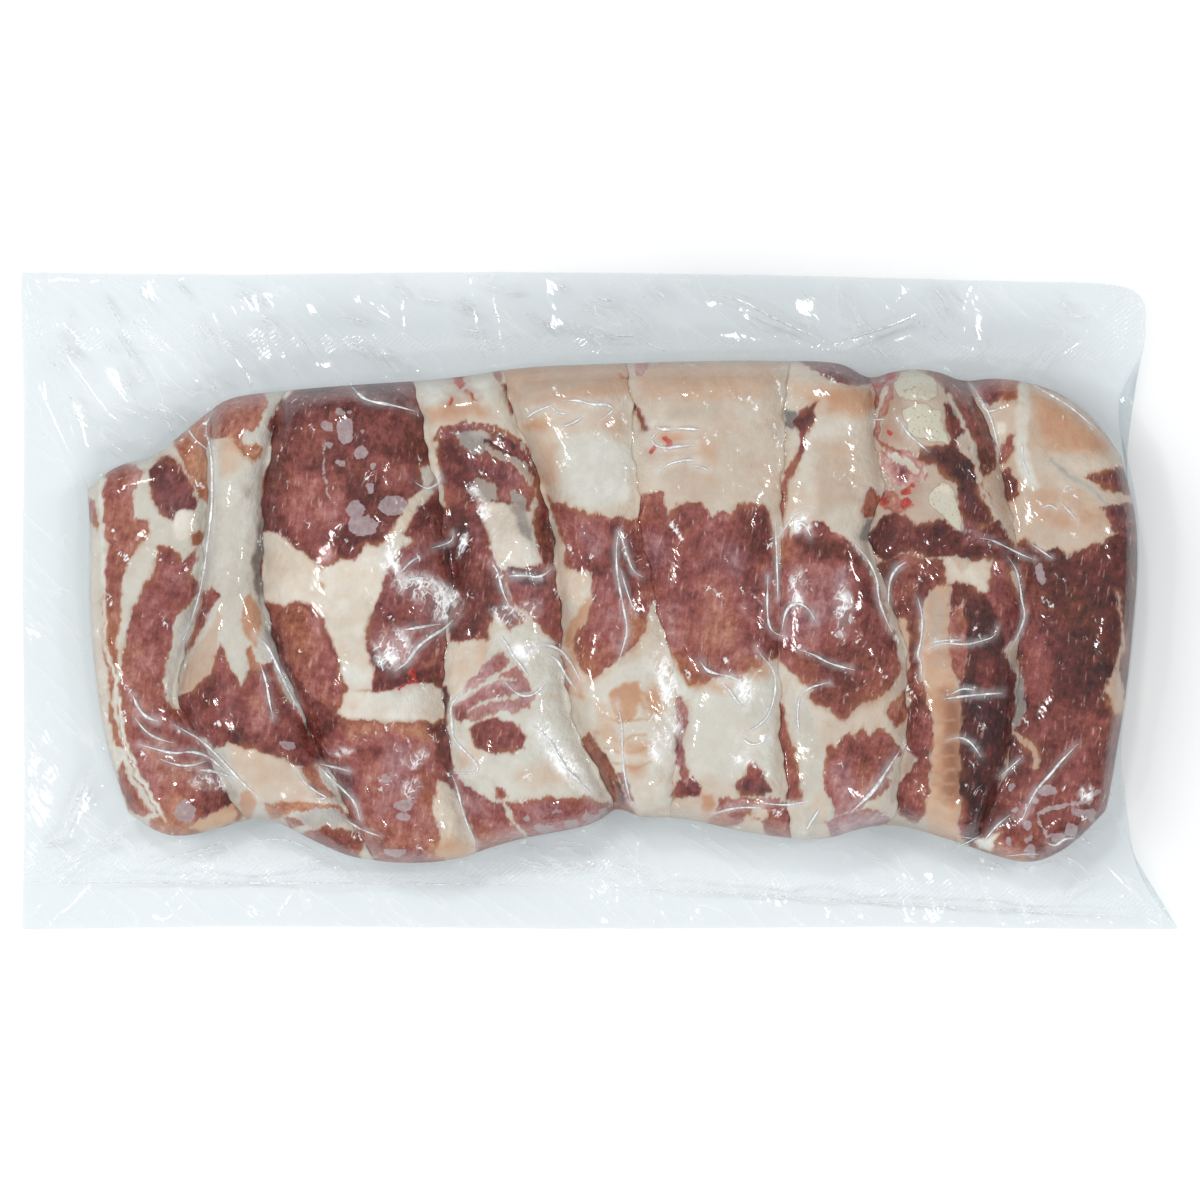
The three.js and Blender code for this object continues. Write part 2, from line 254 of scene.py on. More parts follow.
def grain_group():
    """Noise around 0, at a scale in patches for each metre, turned and stretched along an axis."""
    group = bpy.data.node_groups.new("grain", "ShaderNodeTree")
    sockets = {
        "Place": "Vector", "Scale": "Float", "Detail": "Float", "Roughness": "Float",
        "Turn": "Vector", "Stretch": "Vector",
    }
    for name, kind in sockets.items():
        group.interface.new_socket(name, in_out="INPUT", socket_type="NodeSocket" + kind)
    group.interface.new_socket("Value", in_out="OUTPUT", socket_type="NodeSocketFloat")
    given = add(group, "NodeGroupInput").outputs
    turned = add(group, "ShaderNodeMapping", {0: given["Place"], 2: given["Turn"]}).outputs[0]
    stretched = add(group, "ShaderNodeMapping", {0: turned, 2: (0.6, 0.5, 0.4), 3: given["Stretch"]}).outputs[0]
    noise = add(group, "ShaderNodeTexNoise", {
        "Vector": stretched,
        "Scale": given["Scale"],
        "Detail": given["Detail"],
        "Roughness": given["Roughness"],
    })
    add(group, "NodeGroupOutput", {"Value": ranged(group, noise.outputs[0], 0.25, 0.75, -1, 1)})
    return group


grain_nodes = grain_group()


def grain(tree, where, scale, detail=3.0, roughness=0.6, stretch=(1, 1, 1), turn=0.0):
    inputs = {
        "Place": where, "Scale": scale, "Detail": detail, "Roughness": roughness,
        "Turn": (0, 0, turn), "Stretch": stretch,
    }
    return add(tree, "ShaderNodeGroup", inputs, node_tree=grain_nodes).outputs["Value"]


def meat_finish():
    material = bpy.data.materials.new("frozen_pork")
    material.use_nodes = True
    tree = material.node_tree
    shader = tree.nodes["Principled BSDF"]
    where = add(tree, "ShaderNodeTexCoord").outputs["Object"]

    crumbs = grain(tree, where, 420, detail=3, roughness=0.75)
    fibres = grain(tree, where, 560, detail=2, roughness=0.7, stretch=(1, 0.24, 0.6), turn=0.3)
    specks = grain(tree, where, 1500, detail=1)

    hairs = grain(tree, where, 1050, detail=1, roughness=0.65, stretch=(1, 0.2, 0.6), turn=0.15)
    lean_by = sum_of(tree, (attribute(tree, "lean"), 1.0), (crumbs, 0.35), (fibres, 0.35), (hairs, 0.55))
    is_lean = ranged(tree, lean_by, -0.4, 0.5, kind="SMOOTHSTEP")
    coarse = ranged(tree, is_lean, 0, 1, 0.18, 1)
    mottled = product(tree, crumbs, coarse)
    grained = product(tree, is_lean, fibres)
    light = sum_of(tree, (attribute(tree, "light"), 1.0), (mottled, 0.34), (grained, 0.16), (product(tree, hairs, coarse), 0.1))
    warm = sum_of(tree, (attribute(tree, "warm"), 1.0), (crumbs, 0.12))
    cool_share = ranged(tree, warm, -0.1, -0.9)
    warm_share = ranged(tree, warm, 0, 0.95)

    plain = ramp(tree, light, [(-1, "#351211"), (-0.5, "#612823"), (0, "#8e4a44"), (0.5, "#af746c"), (1, "#cba69f")])
    brown = ramp(tree, light, [(-1, "#35140b"), (-0.5, "#65311d"), (0, "#945238"), (0.5, "#b67c5e"), (1, "#cfa282")])
    dusky = ramp(tree, light, [(-1, "#2d1619"), (-0.5, "#573035"), (0, "#85555a"), (0.5, "#aa8485"), (1, "#c6b1b0")])
    lean = blended(tree, cool_share, blended(tree, warm_share, plain, brown), dusky)
    flecks = ranged(tree, sum_of(tree, (hairs, 0.75), (fibres, 0.4), (specks, 0.1)), 0.52, 0.95, 0.0, 0.6)
    lean = blended(tree, flecks, lean, linear("#c3a092"))
    broken = ranged(tree, attribute(tree, "broken"), -0.4, 0.9, 0.0, 0.75)
    fringe = product(tree, ranged(tree, lean_by, 0.1, 2.4, 1.0, 0.0, kind="SMOOTHSTEP"), broken)
    lean = blended(tree, fringe, lean, linear("#9a6040"))

    white = ramp(tree, light, [(-1, "#867873"), (-0.3, "#ab9c90"), (0.3, "#c2b7a8"), (0.7, "#d0cabe"), (1, "#e3e0d8")])
    peach = ramp(tree, light, [(-1, "#865a43"), (-0.3, "#a9775a"), (0.3, "#bf9071"), (0.7, "#d0ab8b"), (1, "#e0c9b0")])
    grey = ramp(tree, light, [(-1, "#524946"), (-0.3, "#89817b"), (0.3, "#b3aba4"), (0.7, "#cac6c0"), (1, "#dfdedb")])
    fat = blended(tree, cool_share, blended(tree, warm_share, white, peach), grey)
    stain = product(tree, ranged(tree, lean_by, -1.5, -0.1, 0.0, 0.4, kind="SMOOTHSTEP"), broken)
    fat = blended(tree, stain, fat, linear("#ba8a6a"))

    blood_by = sum_of(tree, (attribute(tree, "blood"), 1.0), (crumbs, 0.5))
    fat = blended(tree, ranged(tree, blood_by, -3, 0, 0, 0.4), fat, linear("#b07f72"))
    colour = blended(tree, is_lean, fat, lean)
    bone_by = sum_of(tree, (attribute(tree, "bone"), 1.0), (crumbs, 0.2))
    pores = ranged(tree, sum_of(tree, (specks, 1.0), (crumbs, 0.7)), 0.5, 1.1)
    bone = blended(tree, pores, linear("#cac2af"), linear("#a08866"))
    rim = ranged(tree, bone_by, -0.5, 0.0, 0.0, 0.5)
    colour = blended(tree, rim, colour, linear("#9d7a66"))
    colour = blended(tree, ranged(tree, bone_by, -0.1, 0.15), colour, bone)
    blood = ramp(tree, crumbs, [(-1, "#6a1210"), (0, "#a8281c"), (1, "#d8553a")])
    colour = blended(tree, ranged(tree, blood_by, -0.15, 0.2, 0, 0.9), colour, blood)
    frost_by = sum_of(tree, (attribute(tree, "frost"), 1.0), (crumbs, 0.4), (specks, 0.15))
    frost = blended(tree, is_lean, linear("#d3d1ce"), ramp(tree, crumbs, [(-1, "#9a8284"), (0, "#a89394"), (1, "#bbaaab")]))
    is_frost = ranged(tree, frost_by, -0.08, 0.14, 0, 0.85)
    colour = blended(tree, is_frost, colour, frost)

    rise = sum_of(tree, (crumbs, 0.5), (fibres, 0.25))
    bump = add(tree, "ShaderNodeBump", {"Height": rise, "Strength": 0.6, "Distance": 0.4 * MM})
    gloss = sum_of(tree, (is_lean, -0.1), (is_frost, 0.15), (crumbs, 0.05))
    tree.links.new(colour, shader.inputs["Base Color"])
    tree.links.new(ranged(tree, gloss, -0.5, 0.5, 0.02, 0.92), shader.inputs["Roughness"])
    tree.links.new(bump.outputs[0], shader.inputs["Normal"])
    shader.inputs["Specular IOR Level"].default_value = 0.35
    return material


pork = meat_finish()


# ---------------------------------------------------------------------------------------------------------
# How a chop is made: a fine block is laid between its two seams, from the near edge of the meat to the far
# one, and its surface is painted with the regions that the cut shows. Later regions lie over earlier ones.
class Region(NamedTuple):
    kind: str
    light: float
    warm: float
    points: list = None
    width: float = None


def lean(light, warm, points=None, width=None):
    return Region("lean", light, warm, points, width)


def fat(light, warm, points=None, width=None):
    return Region("fat", light, warm, points, width)


def tint(light, warm, points, width=None):
    return Region("tint", light, warm, points, width)


def mark(kind, points, width=None):
    """Frost, blood or bone."""
    return Region(kind, 0, 0, points, width)


def spot(x, y, across, high=None, turn=0, sides=12):
    """An oval outline round a pixel."""
    high = across if high is None else high
    tilt = math.radians(turn)
    oval = []
    for i in range(sides):
        angle = 2 * math.pi * i / sides
        dx, dy = across * math.cos(angle), high * math.sin(angle)
        oval.append((x + dx * math.cos(tilt) - dy * math.sin(tilt), y + dx * math.sin(tilt) + dy * math.cos(tilt)))
    return oval


PAINT_REACH = 24  # pixels around a region in which its distance counts
SOFT = {"lean": 2.0, "fat": 2.5, "tint": 9.0}  # pixels over which a region's tone fades in
LATTICE = 61  # cells after which a mottling repeats


def mottle(px, py, size, seed, octaves=3):
    """Smooth patches around 0, so many pixels across, with finer ones on them."""
    draw = np.random.default_rng(seed)
    total = np.zeros(px.shape)
    weight = 1.0
    for _ in range(octaves):
        px, py = 0.8 * px - 0.6 * py + 7.3, 0.6 * px + 0.8 * py + 3.1
        lattice = draw.uniform(-1, 1, (LATTICE, LATTICE))
        column, row = np.floor(px / size).astype(int), np.floor(py / size).astype(int)
        fx, fy = px / size - column, py / size - row
        fx, fy = fx * fx * (3 - 2 * fx), fy * fy * (3 - 2 * fy)
        left, right, low, high = column % LATTICE, (column + 1) % LATTICE, row % LATTICE, (row + 1) % LATTICE
        near_row = lattice[left, low] * (1 - fx) + lattice[right, low] * fx
        far_row = lattice[left, high] * (1 - fx) + lattice[right, high] * fx
        total += weight * (near_row * (1 - fy) + far_row * fy)
        size *= 0.5
        weight *= 0.6
    return total


def paint(px, py, regions):
    """The fields that the finish reads, for points at these pixels. Distances are in millimetres."""
    px = px + 1.7 * mottle(px, py, 15, seed=1) + 1.3 * mottle(px, py, 5, seed=10, octaves=1)
    py = py + 1.7 * mottle(px, py, 15, seed=2) + 1.3 * mottle(px, py, 5, seed=11, octaves=1)
    fields = {name: np.full(px.shape, -PAINT_REACH * PIXEL / MM) for name in ("lean", "blood", "frost", "bone")}
    fields["light"] = np.zeros(px.shape)
    fields["warm"] = np.zeros(px.shape)
    for kind, light, warm, points, width in regions:
        if points is None:
            near = np.ones(px.shape, bool)
            by = np.full(px.shape, float(PAINT_REACH))
        else:
            line = np.array(points, float)
            low, high = line.min(axis=0) - PAINT_REACH, line.max(axis=0) + PAINT_REACH
            near = (px > low[0]) & (px < high[0]) & (py > low[1]) & (py < high[1])
            by = inside_by(line, px[near], py[near], closed=width is None) + (width or 0)
        distance = by * PIXEL / MM
        if kind == "lean":
            fields["lean"][near] = np.maximum(fields["lean"][near], distance)
        elif kind == "fat":
            fields["lean"][near] = np.minimum(fields["lean"][near], -distance)
        elif kind != "tint":
            fields[kind][near] = np.maximum(fields[kind][near], distance)
        if kind in SOFT:
            share = np.clip(0.5 + by / (2 * SOFT[kind]), 0, 1)
            share = share * share * (3 - 2 * share)
            for name, value in (("light", light), ("warm", warm)):
                fields[name][near] += (value - fields[name][near]) * share
    fields["lean"] += 0.22 * mottle(px, py, 7, seed=3)
    lean_share = np.clip(0.5 + fields["lean"], 0.45, 1)
    fields["light"] += lean_share * (0.2 * mottle(px, py, 34, seed=4) + 0.16 * mottle(px, py, 9, seed=5, octaves=2))
    fields["warm"] += lean_share * (0.28 * mottle(px, py, 42, seed=6) + 0.16 * mottle(px, py, 11, seed=7, octaves=2))
    fields["broken"] = mottle(px, py, 24, seed=8)
    return fields


CHOP_STEP = 0.55 * MM
CHOP_LAYERS = 7
SEAM_GAP = 0.01 * MM
FILM_GAP = 0.35 * MM
SHIFT_BELOW = 14  # pixels that the marbling wanders by from a chop's top to its underside


def fine_block(counts):
    """A cube from 0 to 1 that is cut into small faces along X, Y and Z."""
    block = bmesh.new()
    bmesh.ops.create_cube(block, size=1)
    bmesh.ops.translate(block, verts=block.verts, vec=(0.5, 0.5, 0.5))
    for axis, count in enumerate(counts):
        along = [
            edge
            for edge in block.edges
            if abs(abs((edge.verts[0].co - edge.verts[1].co).normalized()[axis]) - 1) < 1e-4
        ]
        bmesh.ops.subdivide_edges(block, edges=along, cuts=count - 1, use_grid_fill=True)
    mesh = bpy.data.meshes.new("block")
    block.to_mesh(mesh)
    block.free()
    return mesh


def between(first, second, share):
    return first + (second - first) * share


def chop(name, index, regions):
    """The chop between two neighbouring seams."""
    left, right = seam_lines[index], seam_lines[index + 1]
    width = np.abs(np.interp(0, right[:, 1], right[:, 0]) - np.interp(0, left[:, 1], left[:, 0]))
    deep = far_line[:, 1].max() - near_line[:, 1].min()
    mesh = fine_block((round(width / CHOP_STEP), round(deep / CHOP_STEP), CHOP_LAYERS))
    shares = np.zeros(len(mesh.vertices) * 3)
    mesh.vertices.foreach_get("co", shares)
    across, along, up = shares.reshape(-1, 3).T
    gap_share = SEAM_GAP / width
    across_in = between(gap_share, 1 - gap_share, across)
    along_in = between(SEAM_GAP / deep, 1 - SEAM_GAP / deep, along)
    x, y = np.zeros(across.shape), between(near_line[:, 1].max(), far_line[:, 1].min(), along)
    for _ in range(14):
        x = between(np.interp(y, left[:, 1], left[:, 0]), np.interp(y, right[:, 1], right[:, 0]), across_in)
        y = between(np.interp(x, near_line[:, 0], near_line[:, 1]), np.interp(x, far_line[:, 0], far_line[:, 1]), along_in)

    top = heights(x, y, upwards=False) - FILM_GAP
    under = heights(x, y, upwards=True) + FILM_GAP
    px, py = pixels_of(x, y, top)
    down = 1 - up
    px = px + SHIFT_BELOW * down * np.sin(py / 31 + index)
    py = py + SHIFT_BELOW * down * np.sin(px / 27 + 2 * index)
    fields = paint(px, py, regions)
    cut = np.clip(fields["lean"], -0.8, 0.8)
    raised = np.clip(fields["bone"], 0, 0.5) - 0.2 * cut
    raised = np.minimum(raised + 0.2 * mottle(px, py, 11, seed=9), 0.42)
    to_seam = np.minimum(across, 1 - across) * width
    raised -= 0.2 * np.exp(-((to_seam / (1.0 * MM)) ** 2))
    # Painted shade: the face is darker along both seams, in the crease between neighbouring chops.
    fields["light"] -= 0.16 * np.exp(-((to_seam / (0.7 * MM)) ** 2)) * (1 + mottle(px, py, 30, seed=12))
    top = np.maximum(top + raised * MM, under + 2 * MM)
    mesh.vertices.foreach_set("co", np.stack([x, y, between(under, top, up)], axis=1).ravel())
    for field, values in fields.items():
        layer = mesh.attributes.new(field, "FLOAT", "POINT")
        layer.data.foreach_set("value", values.astype(np.float32))
    mesh.polygons.foreach_set("use_smooth", np.ones(len(mesh.polygons), bool))
    mesh.update()
    mesh.materials.append(pork)
    piece = bpy.data.objects.new(name, mesh)
    bpy.context.scene.collection.objects.link(piece)
    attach(piece, "root")
    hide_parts("sealed_pack")
    return piece


# ---------------------------------------------------------------------------------------------------------
# The first chop, at the narrow end: a pale rind on its outer side, a long strip of brown lean, and a
# dark clot and a knot of gristle near its far end.
chop("chop_1", 0, [
    fat(0.55, 0.0),
    fat(0.7, 0.15, [(80, 540), (104, 540), (108, 640), (118, 700), (128, 760), (150, 820), (110, 830), (80, 700)]),
    lean(0.3, -0.1, spot(86, 487, 5, 5)),
    lean(0.2, 0.3, [(88, 498), (95, 500), (100, 524), (97, 530), (90, 525), (87, 508)]),
    lean(0.05, 0.45, [
        (104, 472), (115, 463), (135, 463), (144, 470), (137, 485), (134, 500), (136, 520), (148, 520),
        (147, 538), (135, 552), (125, 572), (121, 600), (119, 640), (114, 680), (111, 700), (107, 680),
        (104, 640), (103, 600), (107, 565), (109, 545), (104, 520), (103, 490),
    ]),
    lean(0.1, 0.6, [(109, 702), (114, 712), (119, 735), (121, 748), (114, 742), (109, 722)]),
    tint(0.7, -0.3, [(128, 455), (146, 458), (142, 480), (136, 500), (142, 520), (134, 520), (128, 490)]),
    fat(0.85, -0.1, [(147, 455), (153, 445), (168, 436), (174, 447), (181, 465), (167, 455), (150, 463)]),
    lean(-0.35, -0.2, [
        (148, 470), (158, 461), (170, 456), (180, 466), (188, 480), (198, 500), (195, 511), (178, 512),
        (173, 523), (160, 512), (152, 498),
    ]),
    tint(-0.2, 0.5, [(155, 462), (170, 455), (182, 468), (176, 472), (162, 466)]),
    lean(0.42, 0.85, [
        (169, 436), (185, 425), (205, 413), (214, 406), (219, 430), (217, 470), (216, 500), (208, 508),
        (200, 497), (191, 480), (183, 462), (174, 446),
    ]),
    tint(0.1, 0.4, [(205, 415), (216, 412), (216, 430), (208, 432)]),
    fat(0.6, -0.1, [(198, 500), (215, 506), (214, 590), (200, 590), (196, 560), (202, 540), (196, 520)]),
    lean(-0.05, -0.05, [
        (157, 547), (172, 546), (182, 560), (196, 548), (197, 562), (190, 575), (199, 583), (199, 595),
        (188, 606), (177, 613), (172, 627), (173, 648), (166, 668), (165, 700), (182, 712), (206, 735),
        (222, 755), (240, 780), (240, 822), (215, 830), (190, 838), (172, 843), (164, 830), (154, 808),
        (140, 785), (128, 760), (122, 735), (118, 710), (118, 690), (121, 665), (127, 635), (132, 608),
        (142, 587), (151, 572), (155, 560),
    ]),
    tint(0.0, 0.25, [(125, 650), (165, 630), (170, 700), (200, 740), (220, 800), (180, 830), (130, 740)]),
    tint(0.22, 0.5, [(135, 745), (170, 740), (210, 770), (195, 795), (160, 790)]),
    tint(0.3, 0.1, spot(150, 660, 12, 10)),
    tint(0.35, 0.7, [(170, 790), (185, 800), (200, 825), (180, 842), (160, 825)]),
    tint(-0.4, -0.05, [(205, 795), (222, 788), (238, 795), (236, 815), (218, 818), (206, 815)]),
    fat(0.55, 0.95, [(188, 828), (215, 812), (235, 805), (235, 822), (210, 832)]),
    fat(0.45, -0.5, [
        (178, 613), (190, 606), (199, 596), (204, 590), (205, 602), (192, 640), (183, 656), (172, 672),
        (171, 698), (164, 700), (166, 672), (173, 648), (172, 628),
    ]),
    fat(1.0, 0.35, spot(183, 525, 11, 15, 15)),
    lean(0.1, 1.0, [(190, 535), (200, 528), (204, 533), (200, 547), (192, 546)]),
    fat(0.85, 0.0, [(100, 480), (104, 560), (105, 640), (117, 690), (127, 750), (152, 798), (173, 840)], 2.2),
    lean(0.1, 0.5, [(122, 762), (135, 790), (150, 812), (143, 818), (128, 810), (119, 790), (116, 770)]),
    lean(0.4, 0.9, [(150, 820), (160, 816), (171, 830), (168, 842), (158, 838), (152, 830)]),
    mark("frost", spot(185, 812, 11, 12)),
])

# ---------------------------------------------------------------------------------------------------------
# The second chop: a long band of grey-white fat with a cap of lean, dark pockets along its seam, and a
# broad foot of marbled lean.
chop("chop_2", 1, [
    fat(0.5, -0.25),
    tint(0.55, 0.5, [(216, 436), (236, 440), (245, 470), (222, 480)]),
    tint(-0.2, -0.8, spot(246, 492, 3, 4)),
    lean(0.2, 0.4, [
        (205, 405), (222, 392), (262, 388), (269, 402), (263, 416), (256, 430), (246, 428), (241, 438),
        (250, 447), (257, 441), (263, 450), (255, 462), (243, 456), (236, 446), (228, 438), (219, 438),
        (208, 440),
    ]),
    tint(0.4, 1.0, [(222, 430), (240, 440), (262, 452), (250, 462), (232, 448)]),
    tint(0.1, 0.0, [(235, 398), (262, 394), (262, 410), (240, 412)]),
    lean(-0.5, -0.4, [(270, 420), (276, 412), (283, 420), (279, 435), (275, 452), (270, 445)]),
    fat(-0.6, -1.0, [(281, 418), (290, 420), (295, 440), (297, 455), (288, 462), (281, 440)]),
    fat(0.85, 0.5, [(277, 455), (292, 455), (292, 480), (285, 500), (278, 496), (277, 480), (272, 462)]),
    lean(-0.35, -0.1, [(265, 470), (272, 465), (276, 480), (275, 495), (262, 499), (262, 482)]),
    lean(-0.6, -0.7, [(262, 503), (280, 502), (278, 520), (268, 532), (262, 518)]),
    fat(-0.75, -0.7, [(266, 522), (263, 540), (258, 560), (260, 580), (264, 600)], 6),
    fat(0.0, -0.8, [(266, 602), (274, 640), (288, 680), (302, 712), (318, 735)], 7),
    fat(0.25, 0.4, [
        (222, 600), (215, 615), (205, 635), (195, 650), (185, 670), (176, 690), (192, 694), (206, 688),
        (214, 660), (217, 640), (222, 620),
    ]),
    lean(-0.05, 0.3, [
        (203, 592), (212, 586), (221, 598), (212, 608), (203, 628), (193, 645), (181, 665), (175, 690),
        (168, 690), (182, 655), (195, 625), (200, 605),
    ]),
    fat(0.15, 0.95, [(243, 598), (250, 592), (258, 605), (263, 625), (257, 648), (249, 640), (241, 620)]),
    lean(-0.25, -0.05, [
        (165, 700), (190, 692), (210, 672), (216, 648), (220, 640), (225, 655), (233, 672), (241, 688),
        (250, 672), (258, 666), (272, 662), (284, 690), (298, 712), (312, 735), (335, 758), (330, 768),
        (300, 766), (275, 760), (250, 750), (230, 746), (215, 750), (195, 735), (178, 715),
    ]),
    lean(0.3, 0.9, [(246, 649), (252, 646), (256, 660), (263, 672), (250, 670)]),
    tint(0.05, -0.5, [(214, 662), (225, 660), (238, 712), (225, 718)]),
    tint(-0.6, 0.0, spot(232, 732, 8, 5)),
    tint(-0.5, 0.1, spot(206, 702, 5, 8)),
    tint(0.25, -0.1, [(245, 700), (262, 690), (272, 740), (250, 735)]),
    fat(0.65, 0.45, [
        (228, 744), (260, 752), (290, 762), (300, 770), (312, 785), (340, 800), (300, 803), (258, 801),
        (244, 788), (232, 770),
    ]),
    tint(0.55, 0.6, [(250, 765), (280, 768), (288, 780), (262, 782)]),
    lean(0.2, 0.6, [(300, 768), (312, 764), (326, 785), (338, 797), (322, 796), (308, 785)]),
    lean(0.4, 0.9, [(262, 804), (280, 801), (335, 804), (360, 822), (330, 812), (310, 811), (290, 813), (272, 818)]),
    lean(0.1, 0.6, [(283, 816), (300, 820), (304, 826), (290, 828)]),
    fat(0.35, 0.95, [(240, 795), (252, 790), (258, 805), (250, 820), (238, 818)]),
    fat(0.3, -0.9, [(298, 816), (315, 808), (335, 808), (347, 816), (340, 826), (310, 829), (302, 824)]),
    lean(0.0, 0.15, [(300, 834), (315, 827), (345, 829), (365, 840), (358, 866), (330, 852), (312, 844)]),
    mark("frost", spot(288, 745, 9, 4, 15)),
])

# ---------------------------------------------------------------------------------------------------------
# The third chop: a broad round eye of dark lean with a forked seam of cream fat across its middle, and
# many small patches of frost on the lean.
EYE_FROST = [
    (340, 413, 6, 4), (350, 411, 3, 3), (327, 425, 7, 5), (346, 430, 9, 13), (363, 432, 3, 3),
    (362, 452, 8, 6), (330, 445, 4, 4), (340, 463, 6, 3), (373, 465, 3, 3), (371, 488, 4, 5),
    (393, 507, 14, 11), (355, 509, 9, 9), (363, 525, 15, 10), (386, 780, 5, 4), (402, 806, 10, 5),
    (403, 817, 7, 4), (395, 852, 13, 4), (371, 857, 7, 2.5), (332, 850, 6, 2), (344, 854, 5, 2),
]
chop("chop_3", 2, [
    lean(-0.38, 0.02),
    fat(0.8, 0.1, [(258, 385), (294, 384), (290, 397), (277, 400), (278, 408), (262, 412)]),
    tint(-0.32, -0.05, [(298, 385), (345, 380), (345, 410), (300, 412)]),
    tint(-0.36, 0.15, [(372, 404), (410, 408), (430, 440), (428, 464), (385, 450)]),
    tint(0.12, 0.1, [(290, 470), (340, 480), (350, 520), (300, 545), (285, 510)]),
    tint(0.1, 0.25, [(380, 460), (410, 465), (412, 490), (385, 490)]),
    tint(-0.5, -0.6, [(354, 386), (395, 382), (405, 390), (414, 403), (390, 402), (368, 397)]),
    fat(0.75, 0.2, [(420, 467), (432, 464), (434, 486), (425, 489)]),
    fat(0.85, 0.5, [(430, 490), (414, 504), (404, 522), (393, 540)], 5.5),
    fat(0.8, 0.35, [
        (262, 530), (282, 536), (295, 548), (310, 562), (322, 569), (340, 561), (355, 558), (367, 542),
        (377, 545), (390, 538), (402, 530), (412, 540), (400, 552), (392, 562), (385, 580), (378, 600),
        (368, 620), (365, 650), (372, 668), (372, 690), (350, 692), (343, 680), (338, 660), (331, 640),
        (325, 620), (312, 606), (298, 600), (285, 606), (262, 600), (262, 560),
    ]),
    tint(0.9, -0.1, spot(355, 676, 12, 11)),
    lean(0.4, 0.9, spot(323, 585, 2, 4)),
    tint(0.6, -0.3, spot(326, 556, 8, 9)),
    lean(0.1, 0.15, [
        (281, 610), (300, 606), (314, 616), (326, 640), (338, 665), (346, 690), (352, 706), (340, 716),
        (325, 706), (308, 692), (290, 668), (280, 641),
    ]),
    tint(0.05, 0.7, [(281, 610), (300, 607), (312, 622), (300, 655), (286, 650)]),
    tint(0.35, -0.4, spot(318, 622, 6, 7)),
    lean(-0.08, -0.1, [
        (400, 552), (420, 530), (440, 522), (462, 520), (482, 560), (484, 600), (482, 620), (470, 642),
        (446, 650), (432, 666), (415, 672), (395, 662), (375, 652), (365, 640), (368, 620), (378, 600),
        (385, 575), (392, 562),
    ]),
    tint(-0.5, 0.05, [(440, 505), (452, 520), (455, 560), (482, 590), (470, 612), (442, 590), (436, 540)]),
    tint(0.3, -0.5, [(385, 640), (402, 628), (415, 640), (405, 660), (385, 655)]),
    tint(-0.35, 0.1, spot(395, 618, 10, 8)),
    lean(-0.4, -0.05, [(440, 440), (452, 500), (456, 540), (444, 560), (436, 500)]),
    fat(0.85, 0.25, [
        (348, 690), (375, 692), (400, 688), (422, 681), (446, 690), (448, 716), (430, 722), (410, 721),
        (390, 722), (365, 718), (348, 722), (335, 715), (342, 700),
    ]),
    lean(0.08, -0.05, [
        (340, 724), (370, 721), (395, 723), (420, 725), (434, 735), (437, 760), (446, 772), (446, 790),
        (434, 808), (440, 835), (430, 860), (400, 870), (365, 870), (340, 866), (325, 850), (318, 830),
        (335, 815), (340, 790), (330, 765), (322, 742),
    ]),
    tint(0.3, 0.85, [(342, 724), (380, 722), (420, 724), (434, 736), (420, 742), (380, 733), (345, 738)]),
    tint(-0.3, 0.15, spot(372, 752, 13, 9)),
    tint(0.05, -0.4, [(380, 745), (410, 742), (415, 800), (385, 800)]),
    tint(-0.12, 0.3, [(420, 765), (436, 768), (438, 802), (422, 805)]),
    tint(-0.35, -0.8, [(330, 762), (350, 768), (362, 800), (345, 800), (332, 785)]),
    tint(0.15, 0.35, [(340, 820), (400, 820), (440, 850), (350, 850)]),
    fat(0.75, 0.35, [
        (438, 782), (452, 786), (460, 800), (470, 822), (480, 848), (470, 862), (450, 862), (436, 852),
        (440, 832), (432, 812), (436, 795),
    ]),
    tint(0.5, 1.0, [(428, 842), (450, 838), (472, 846), (470, 862), (430, 862)]),
    mark("blood", spot(412, 674, 6, 4, 70)),
    mark("blood", [(399, 690), (408, 684), (417, 680)], 2.0),
    *[mark("frost", spot(*patch)) for patch in EYE_FROST],
    mark("frost", [(325, 440), (322, 470), (330, 500)], 1.2),
])

